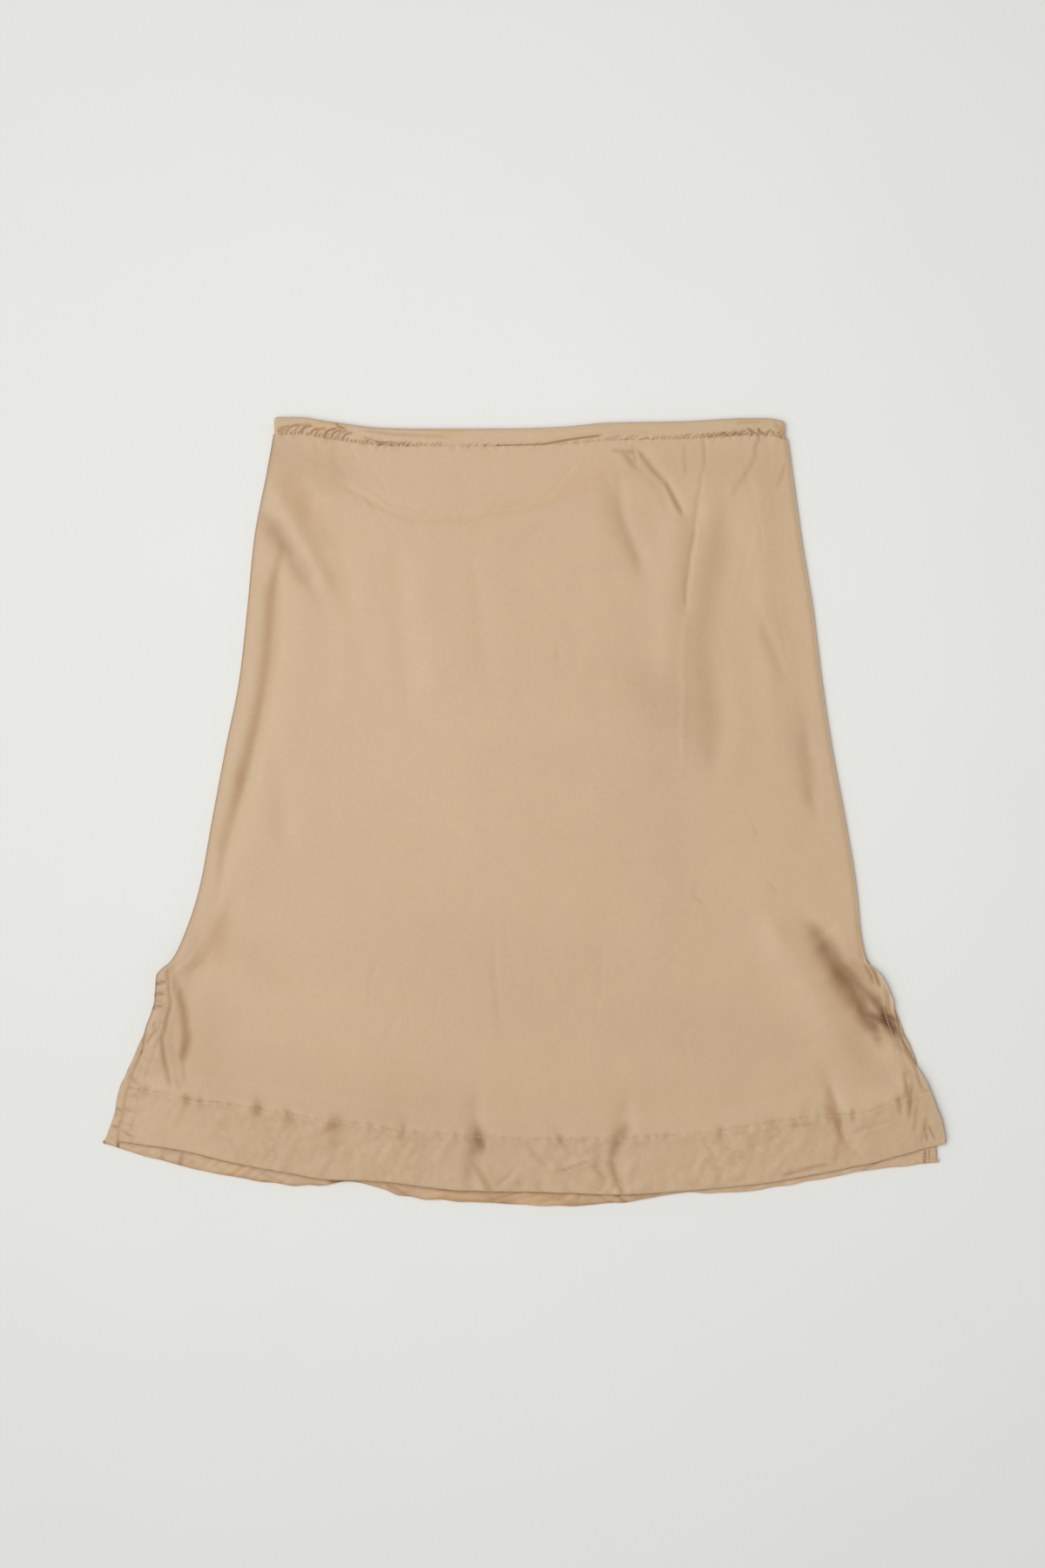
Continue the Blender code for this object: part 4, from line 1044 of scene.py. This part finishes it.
def add_node(tree, kind, inputs, output=0, **settings):
    """A new node with its settings and inputs; what it returns is one of its outputs."""
    node = tree.nodes.new("ShaderNode" + kind)
    for setting, value in settings.items():
        setattr(node, setting, value)
    set_inputs(tree, node, inputs)
    return node.outputs[output]


def place_output(tree):
    """The place on the piece, in metres."""
    return add_node(tree, "TexCoord", {}, "Object")


def attribute(tree, name):
    return add_node(tree, "Attribute", {}, "Fac", attribute_name=name)


def ranged(tree, value, low, high, to_low, to_high):
    ends = {"From Min": low, "From Max": high, "To Min": to_low, "To Max": to_high}
    return add_node(tree, "MapRange", {"Value": value, **ends}, clamp=True)


def noise(tree, place, scale, detail, roughness=0.5):
    inputs = {"Vector": place, "Scale": scale, "Detail": detail, "Roughness": roughness}
    return add_node(tree, "TexNoise", inputs, "Fac")


def noise_between(tree, place, scale, detail, low, high):
    """A noise whose middle values spread from low to high."""
    return ranged(tree, noise(tree, place, scale, detail), 0.3, 0.7, low, high)


def waves(tree, direction, inputs):
    kind = {"wave_type": "BANDS", "bands_direction": direction, "wave_profile": "SIN"}
    return add_node(tree, "TexWave", inputs, "Fac", **kind)


def maths(tree, operation, a, b):
    return add_node(tree, "Math", {0: a, 1: b}, operation=operation)


def product(tree, first, *others):
    for other in others:
        first = maths(tree, "MULTIPLY", first, other)
    return first


def scaled_colour(tree, colour, factor):
    return add_node(tree, "VectorMath", {0: colour, "Scale": factor}, operation="SCALE")


def multiplied(tree, a, b):
    return add_node(tree, "VectorMath", {0: a, 1: b}, operation="MULTIPLY")


def mixed_colour(tree, share, a, b):
    return add_node(tree, "Mix", {0: share, 6: a, 7: b}, 2, data_type="RGBA")


def bumped(tree, height, distance, strength, below=None):
    inputs = {"Height": height, "Distance": distance, "Strength": strength}
    if below:
        inputs["Normal"] = below
    return add_node(tree, "Bump", inputs)


def add_material(name, describe):
    """A material whose surface has the inputs that `describe(tree, place)` gives."""
    material = bpy.data.materials.new(name)
    material.use_nodes = True
    tree = material.node_tree
    set_inputs(tree, tree.nodes["Principled BSDF"], describe(tree, place_output(tree)))
    return material


def satin(name, colour, twill=1):
    """Satin with a fine diagonal weave, mottled and in places pinker, with painted shade, light and golden
    light.
    """

    def describe(tree, place):
        diagonal = add_node(tree, "Mapping", {"Vector": place, "Rotation": (0, 0, -pi / 4)})
        threads = {"Scale": 165, "Distortion": 0.8, "Detail": 1, "Detail Scale": 1.2}
        weave = waves(tree, "X", {"Vector": diagonal, **threads})
        weave_seen = product(tree, weave, ranged(tree, noise(tree, place, 24, 2), 0.45, 0.68, 0.15, 1))
        weave_tone = ranged(tree, weave_seen, 0, 1, 1 + 0.016 * twill, 1 - 0.016 * twill)
        mottled = noise_between(tree, place, 48, 3, 0.982, 1.018)
        broad = noise_between(tree, place, 5, 1, 0.985, 1.012)
        grain = noise_between(tree, place, 950, 2, 0.985, 1.015)
        fine = noise_between(tree, place, 380, 2, 0.978, 1.022)
        tone = product(tree, broad, mottled, grain, fine, weave_tone)

        # warmth paints golden light in folds where positive, and a pinker tone where negative
        warmth = attribute(tree, "warmth")
        warm = product(tree, warmth, 0.55)
        tinted = mixed_colour(tree, warm, (*colour, 1), (*SATIN_GOLDEN, 1))
        blushed = ranged(tree, noise(tree, place, 7, 1), 0.35, 0.65, 0, 0.25)
        blushed = maths(tree, "ADD", blushed, ranged(tree, warmth, -1, 0, 1, 0))
        tinted = mixed_colour(tree, blushed, tinted, multiplied(tree, tinted, SATIN_BLUSH))
        # the shade attribute paints shade, and light where it is negative; painted shade deepens the colour
        light = maths(tree, "SUBTRACT", 1, maths(tree, "MINIMUM", attribute(tree, "shade"), DARKEST))
        deepened = {i: maths(tree, "POWER", light, power) for i, power in enumerate(SHADE_POWERS)}
        tinted = multiplied(tree, tinted, add_node(tree, "CombineXYZ", deepened))

        normal = bumped(tree, noise(tree, place, 55, 3, 0.45), 0.00035, 0.5)
        normal = bumped(tree, weave_seen, 0.00004 * twill, 0.5, normal)
        return {
            "Base Color": scaled_colour(tree, tinted, tone),
            "Normal": bumped(tree, noise(tree, place, 1500, 1), 0.00002, 0.4, normal),
            "Roughness": ranged(tree, mottled, 0.985, 1.015, 0.41, 0.47),
            "Specular IOR Level": 0.35,
            "Sheen Weight": 0.12,
            "Sheen Roughness": 0.45,
        }

    return add_material(name, describe)


def thread_look(tree, place):
    """Sewing thread: two twisted plies across each stitch."""
    plies = waves(tree, "DIAGONAL", {"Vector": place, "Scale": 700})
    light = maths(tree, "SUBTRACT", 1, attribute(tree, "shade"))
    tone = product(tree, ranged(tree, plies, 0, 1, 0.92, 1.06), light)
    return {
        "Base Color": scaled_colour(tree, THREAD, tone),
        "Normal": bumped(tree, plies, 0.00008, 0.6),
        "Roughness": 0.55,
        "Sheen Weight": 0.2,
    }


def floor_look(tree, place):
    """A pale matt board, painted a little darker away from the light."""
    centre = add_node(tree, "VectorMath", {0: place, 1: (0.06, 0.1, 0)}, operation="SUBTRACT")
    away = add_node(tree, "VectorMath", {0: centre}, "Value", operation="LENGTH")
    falloff = ranged(tree, away, 0.1, 0.95, 1, 0.9)
    tone = product(tree, falloff, noise_between(tree, place, 9, 2, 0.996, 1.004))
    return {
        "Base Color": scaled_colour(tree, FLOOR, tone),
        "Roughness": 0.9,
        "Specular IOR Level": 0.1,
    }


# ---------------------------------------------------------------- cloth pieces
def add_panel(name, panel, height_at, material, on_turned_up=plain):
    grid, shade, warmth = panel_points(panel, height_at, on_turned_up)
    points, faces, shade, warmth = shell(grid, shade, warmth, panel.inwards < 0)
    return add_mesh(name, points, faces, material, shade, warmth)


TURNING_ROWS = 150
TURNING_FOLD_POINTS = 6
TURNING_FLAT_POINTS = 17
TURNING_OVER_HEM = 0.15


def slit_edge_line(panel, is_left):
    """Points along a slit edge, from its top to the hem."""
    edge_at = panel.left if is_left else panel.right
    ends_at = SLIT_TOP
    for _ in range(8):
        ends_at = float(panel.hem(edge_at(ends_at)))
    y = np.linspace(SLIT_TOP - GAP, ends_at + HEM_RADIUS, TURNING_ROWS)
    return edge_at(y), y


def surface_height(panel, height_at, x, y):
    """The height of a panel's outer side at places on the page."""
    to_edge = np.minimum(x - panel.left(y), panel.right(y) - x)
    height, _, _ = height_at(x, y, to_edge, y - panel.hem(x), panel_top(x) - y)
    return height


def add_slit_turning(name, panel, height_at, is_left, material):
    """A turned-in slit edge: it folds in from the panel's edge and lies on its inner side."""
    edge_at = panel.left if is_left else panel.right
    edge_x, line_y = slit_edge_line(panel, is_left)
    turns = np.linspace(0, pi / 2, TURNING_FOLD_POINTS)
    inset = np.concatenate(
        [HEM_RADIUS * (1 - np.cos(turns)), np.linspace(HEM_RADIUS, TURNING, TURNING_FLAT_POINTS)[1:]]
    )
    depth = HEM_RADIUS * (1 + np.concatenate([np.sin(turns), np.ones(TURNING_FLAT_POINTS - 1)]))
    depth = depth + TURNING_OVER_HEM
    side = 1 if is_left else -1
    ends_at = panel.hem(edge_x[-1] + side * inset) + HEM_RADIUS
    y = mix(line_y[0], ends_at, np.linspace(0, 1, TURNING_ROWS)[:, None])
    x = edge_at(y) + side * inset
    z = surface_height(panel, height_at, x, y) + panel.inwards * depth
    shade, warmth = np.zeros((2, *x.shape))
    if panel is BACK:
        beside_front = np.maximum(FRONT.left(y) - x, x - FRONT.right(y))
        shown = 1 - falling(np.maximum(beside_front, FRONT.hem(x) - y), 0, 2)
        puckers = soft_noise(x, y, (9, 3.6), 51)
        folded, dark, warmth = creases(x, y, BACK_HEM_CREASES)
        z = z + shown * np.maximum(0.45 * puckers + 0.2 + folded, 0)
        shade = shade + shown * (STRIP_SHADE + 0.2 * np.clip(-puckers, 0, 1) + dark)
    grid = np.stack([x, y, z], axis=-1)
    if not is_left:
        grid, shade, warmth = grid[:, ::-1], shade[:, ::-1], warmth[:, ::-1]
    faces = grid_faces(*grid.shape[:2])
    if panel.inwards < 0:
        faces = faces[:, ::-1]
    piece = add_mesh(name, grid.reshape(-1, 3), faces, material, shade, warmth)
    wall = piece.modifiers.new("wall", "SOLIDIFY")
    wall.thickness = 0.5 * WALL * MM
    wall.offset = -1
    return piece


CASING_STATIONS = 1000
CASING_BACK_STATIONS = 240
CASING_PROFILE = (
    # The outer side of the casing's section: how far down from the fold, and its share of the height.
    # down, share
    (0, 0.5), (0.5, 0.78), (1.5, 0.92), (4, 1), (8.5, 0.98), (11, 0.86), (12.6, 0.79),
)
CASING_OUTER_POINTS = 34
CASING_UNDER = ((0.5, 0.12), (1.5, 0), (5, 0), (9, 0), (12.1, 0), (12.6, 0.12))


def casing_points(levels, is_front):
    """The casing as rings round its section, from left to right: points, shade and warmth."""
    low, high = levels
    middle = WAIST[0][1] - CASING_DEPTH / 2
    stations = CASING_STATIONS if is_front else CASING_BACK_STATIONS
    x = np.linspace(float(FRONT.left(middle)), float(FRONT.right(middle)), stations)
    down = CASING_DEPTH * (1 - spread(CASING_OUTER_POINTS, smooth_curve(((0, 1.6), (0.5, 0.8), (1, 1.4)))))
    share = smooth_curve(CASING_PROFILE)(down)
    all_down = np.concatenate([down, [place for place, _ in CASING_UNDER]])
    all_share = np.concatenate([share, [height for _, height in CASING_UNDER]])
    grid_x = np.repeat(x[:, None], len(all_down), axis=1)
    to_end = np.minimum(x - x[0], x[-1] - x)[:, None]
    cut = CASING_CORNER - np.sqrt(CASING_CORNER**2 - np.maximum(CASING_CORNER - to_end, 0) ** 2)
    grid_y = waist_line(grid_x) - all_down - cut * (1 - all_down / CASING_DEPTH) ** 2
    grid_z = mix(low, high, np.broadcast_to(all_share, grid_x.shape)).copy()
    shade, warmth = np.zeros_like(grid_x), np.zeros_like(grid_x)
    outer = slice(0, len(down))
    if is_front:
        outer_x, outer_y = grid_x[:, outer], grid_y[:, outer]
        wave, wave_shade = gathers(outer_x, np.broadcast_to(CASING_DEPTH - down, outer_x.shape))
        puckers = [*CASING_CREASES, *loop_rows(CASING_LOOPS)]
        fine, dark, warmth[:, outer] = creases(outer_x, outer_y, puckers)
        easy = 0.25 * soft_noise(outer_x, outer_y, (26, 9), 61)
        easy = easy + 0.1 * soft_noise(outer_x, outer_y, (7, 5), 62)
        grid_z[:, outer] += (wave + fine + easy) * (1 - falling(down, 0, 2))
        shade[:, outer] = np.maximum(wave_shade, dark)
    grid_z -= (high - low) * 0.5 * falling(to_end, 0, 2.5) * (all_share - 0.5)
    return np.stack([grid_x, grid_y, grid_z], axis=-1), shade, warmth


def add_casing(name, levels, is_front, material):
    grid, shade, warmth = casing_points(levels, is_front)
    if not is_front:
        low, high = levels
        grid[..., 2] = low + high - grid[..., 2]
    stations, size = grid.shape[:2]
    faces = []
    ring = np.arange(size)
    for station in range(stations - 1):
        a = station * size + ring
        b = station * size + (ring + 1) % size
        faces += np.stack([a, a + size, b + size, b], axis=1).tolist()
    faces.append(ring.tolist())
    faces.append(((stations - 1) * size + ring)[::-1].tolist())
    if not is_front:
        faces = [face[::-1] for face in faces]
    return add_mesh(name, grid.reshape(-1, 3), faces, material, shade, warmth)


# ---------------------------------------------------------------- stitches
def stitch_form():
    """One stitch as a small lens-shaped bead along X: its points and faces."""
    sides, rings = 6, ((-0.5, 0), (-0.34, 0.75), (0, 1), (0.34, 0.75), (0.5, 0))
    points = [(rings[0][0], 0, 0)]
    for along, size in rings[1:-1]:
        for side in range(sides):
            turn = 2 * pi * side / sides
            points.append((along, 0.5 * size * np.cos(turn), 0.5 * size * np.sin(turn)))
    points.append((rings[-1][0], 0, 0))
    faces = []
    last = len(points) - 1
    for side in range(sides):
        after = (side + 1) % sides
        faces.append((0, 1 + after, 1 + side))
        for ring in range(len(rings) - 3):
            a, b = 1 + ring * sides + side, 1 + ring * sides + after
            faces.append((a, b, b + sides, a + sides))
        faces.append((last - sides + side, last - sides + after, last))
    return np.array(points), faces


def add_stitches(name, x, y, height_at, material, slant, pitch=STITCH_PITCH):
    """A row of stitches along the line through (x, y), each a bead that lies in the cloth."""
    length = np.concatenate([[0], np.cumsum(np.hypot(np.diff(x), np.diff(y)))])
    places = np.arange(pitch / 2, length[-1], pitch)
    centre_x, centre_y = np.interp(places, length, x), np.interp(places, length, y)
    ahead_x, ahead_y = np.interp(places + 0.5, length, x), np.interp(places + 0.5, length, y)
    angle = np.arctan2(ahead_y - centre_y, ahead_x - centre_x) + slant
    angle = angle + 0.12 * np.sin(places * 1.7)
    points, faces = stitch_form()
    half = 0.4 * STITCH_LENGTH
    start = height_at(centre_x - half * np.cos(angle), centre_y - half * np.sin(angle))
    end = height_at(centre_x + half * np.cos(angle), centre_y + half * np.sin(angle))
    all_points, all_faces, shade = [], [], []
    for i in range(len(places)):
        along = points[:, 0] * STITCH_LENGTH
        beside = points[:, 1] * STITCH_WIDTH
        px = centre_x[i] + along * np.cos(angle[i]) - beside * np.sin(angle[i])
        py = centre_y[i] + along * np.sin(angle[i]) + beside * np.cos(angle[i])
        pz = mix(start[i], end[i], 0.5 + along / (2 * half)) + points[:, 2] * 2 * STITCH_HEIGHT
        shade.append(STITCH_END_SHADE * (2 * np.abs(points[:, 0])) ** 2)
        all_faces += [tuple(index + i * len(points) for index in face) for face in faces]
        all_points.append(np.stack([px, py, pz], axis=1))
    return add_mesh(name, np.concatenate(all_points), all_faces, material, np.concatenate(shade))


def front_z(x, y):
    return surface_height(FRONT, front_height, x, y)


def hem_stitches(material):
    x = np.linspace(-283, 291, LINE_POINTS)
    y = FRONT.hem(x) + hem_depth(x)
    return add_stitches("hem_stitches", x, y, front_z, material, -0.9)


def slit_stitches(is_left, material):
    edge_x, y = slit_edge_line(FRONT, is_left)
    x = edge_x + (seam_left(y) if is_left else -seam_right(y))
    name = "slit_stitches_" + ("left" if is_left else "right")
    keep = (y < SLIT_TOP - 3) & (y > FRONT.hem(x) + 2)
    pitch = STITCH_PITCH if is_left else 0.85 * STITCH_PITCH
    return add_stitches(name, x[keep], y[keep], front_z, material, 0.2, pitch)


def casing_stitches(material):
    x = np.linspace(-180, 186.5, LINE_POINTS)
    y = waist_line(x) - CASING_DEPTH - 0.9
    return add_stitches("casing_stitches", x, y, front_z, material, 0.25)


def back_corner_stitches(material):
    """Two short rows at the right-hand corner of the back hem, where it shows."""
    pieces = []
    level = 2 * HEM_RADIUS + 0.7
    for number, inset in enumerate((4, 8.5)):
        y = np.linspace(-236, float(BACK.hem(292)) + 1.5, 30)
        x = BACK.right(y) - inset
        name = "back_corner_stitches_" + str(number + 1)
        pieces.append(add_stitches(name, x, y, lambda px, py: np.full_like(px, level), material, 0.1))
    return pieces


# ---------------------------------------------------------------- stage
def add_floor():
    far, low = 3000, -0.2
    corners = [(-far, -far, low), (far, -far, low), (far, far, low), (-far, far, low)]
    add_mesh("floor", corners, [(0, 1, 2, 3)], add_material("floor", floor_look))


def add_light(name, kind, place, target, energy, colour, size):
    data = bpy.data.lights.new(name, kind)
    data.energy = energy
    data.color = colour
    if kind == "SUN":
        data.angle = size
    else:
        data.shape = "DISK"
        data.size = size
    placed(name, data, place, (Vector(target) - Vector(place)).to_track_quat("-Z", "Y").to_euler())


def add_lights():
    """A soft light from the left, a weaker pool above the left side, and an even fill."""
    add_light("key", "SUN", (-0.85, -0.15, 1.7), (0, 0, 0), 1.32, (1, 0.995, 0.985), 1.1)
    add_light("pool", "AREA", (-0.55, 0.25, 1.9), (-0.3, 0.1, 0), 12.5, (1, 1, 0.99), 1.2)
    world = bpy.data.worlds.new("fill")
    world.use_nodes = True
    background = world.node_tree.nodes["Background"]
    background.inputs["Color"].default_value = (1, 1, 1, 1)
    background.inputs["Strength"].default_value = 0.372
    bpy.context.scene.world = world


def set_view():
    """The picture's colours as the lights give them."""
    view = bpy.context.scene.view_settings
    view.view_transform = "Standard"
    view.look = "None"
    view.exposure = 0
    view.gamma = 1


def add_camera():
    data = bpy.data.cameras.new("camera")
    data.lens = LENS
    data.sensor_width = SENSOR
    data.dof.use_dof = False
    distance = PHOTO_LONG_SIDE * LENS / SENSOR
    bpy.context.scene.camera = placed("camera", data, to_metres((*PHOTO_CENTRE, distance)))


# ---------------------------------------------------------------- the skirt
def declare(piece, node=None):
    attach(piece, "root")
    if node:
        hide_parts(node)


def main():
    add_camera()
    add_floor()
    add_lights()
    set_view()
    outside = satin("satin", SATIN)
    inside = satin("satin_inside", SATIN_INSIDE)
    casing = satin("waist_casing", SATIN, twill=0.6)
    thread = add_material("thread", thread_look)

    front = add_panel("front_cloth", FRONT, front_height, outside)
    declare(front, "front_panel")
    back = add_panel("back_cloth", BACK, plain, outside, back_strip)
    declare(back, "back_panel")

    for is_left in (True, False):
        side = "left" if is_left else "right"
        for which, panel, height_at in (("front", FRONT, front_height), ("back", BACK, plain)):
            node = "slit_turning_" + which + "_" + side
            piece = add_slit_turning(node.replace("turning", "edge"), panel, height_at, is_left, inside)
            declare(piece, node)
    for which, levels, is_front in (("front", CASING_FRONT, True), ("back", CASING_BACK, False)):
        node = "waist_casing_" + which
        piece = add_casing("waistband_" + which, levels, is_front, casing)
        declare(piece, node)

    rows = [hem_stitches(thread), slit_stitches(True, thread), slit_stitches(False, thread)]
    rows += [casing_stitches(thread), *back_corner_stitches(thread)]
    for row in rows:
        declare(row)


main()
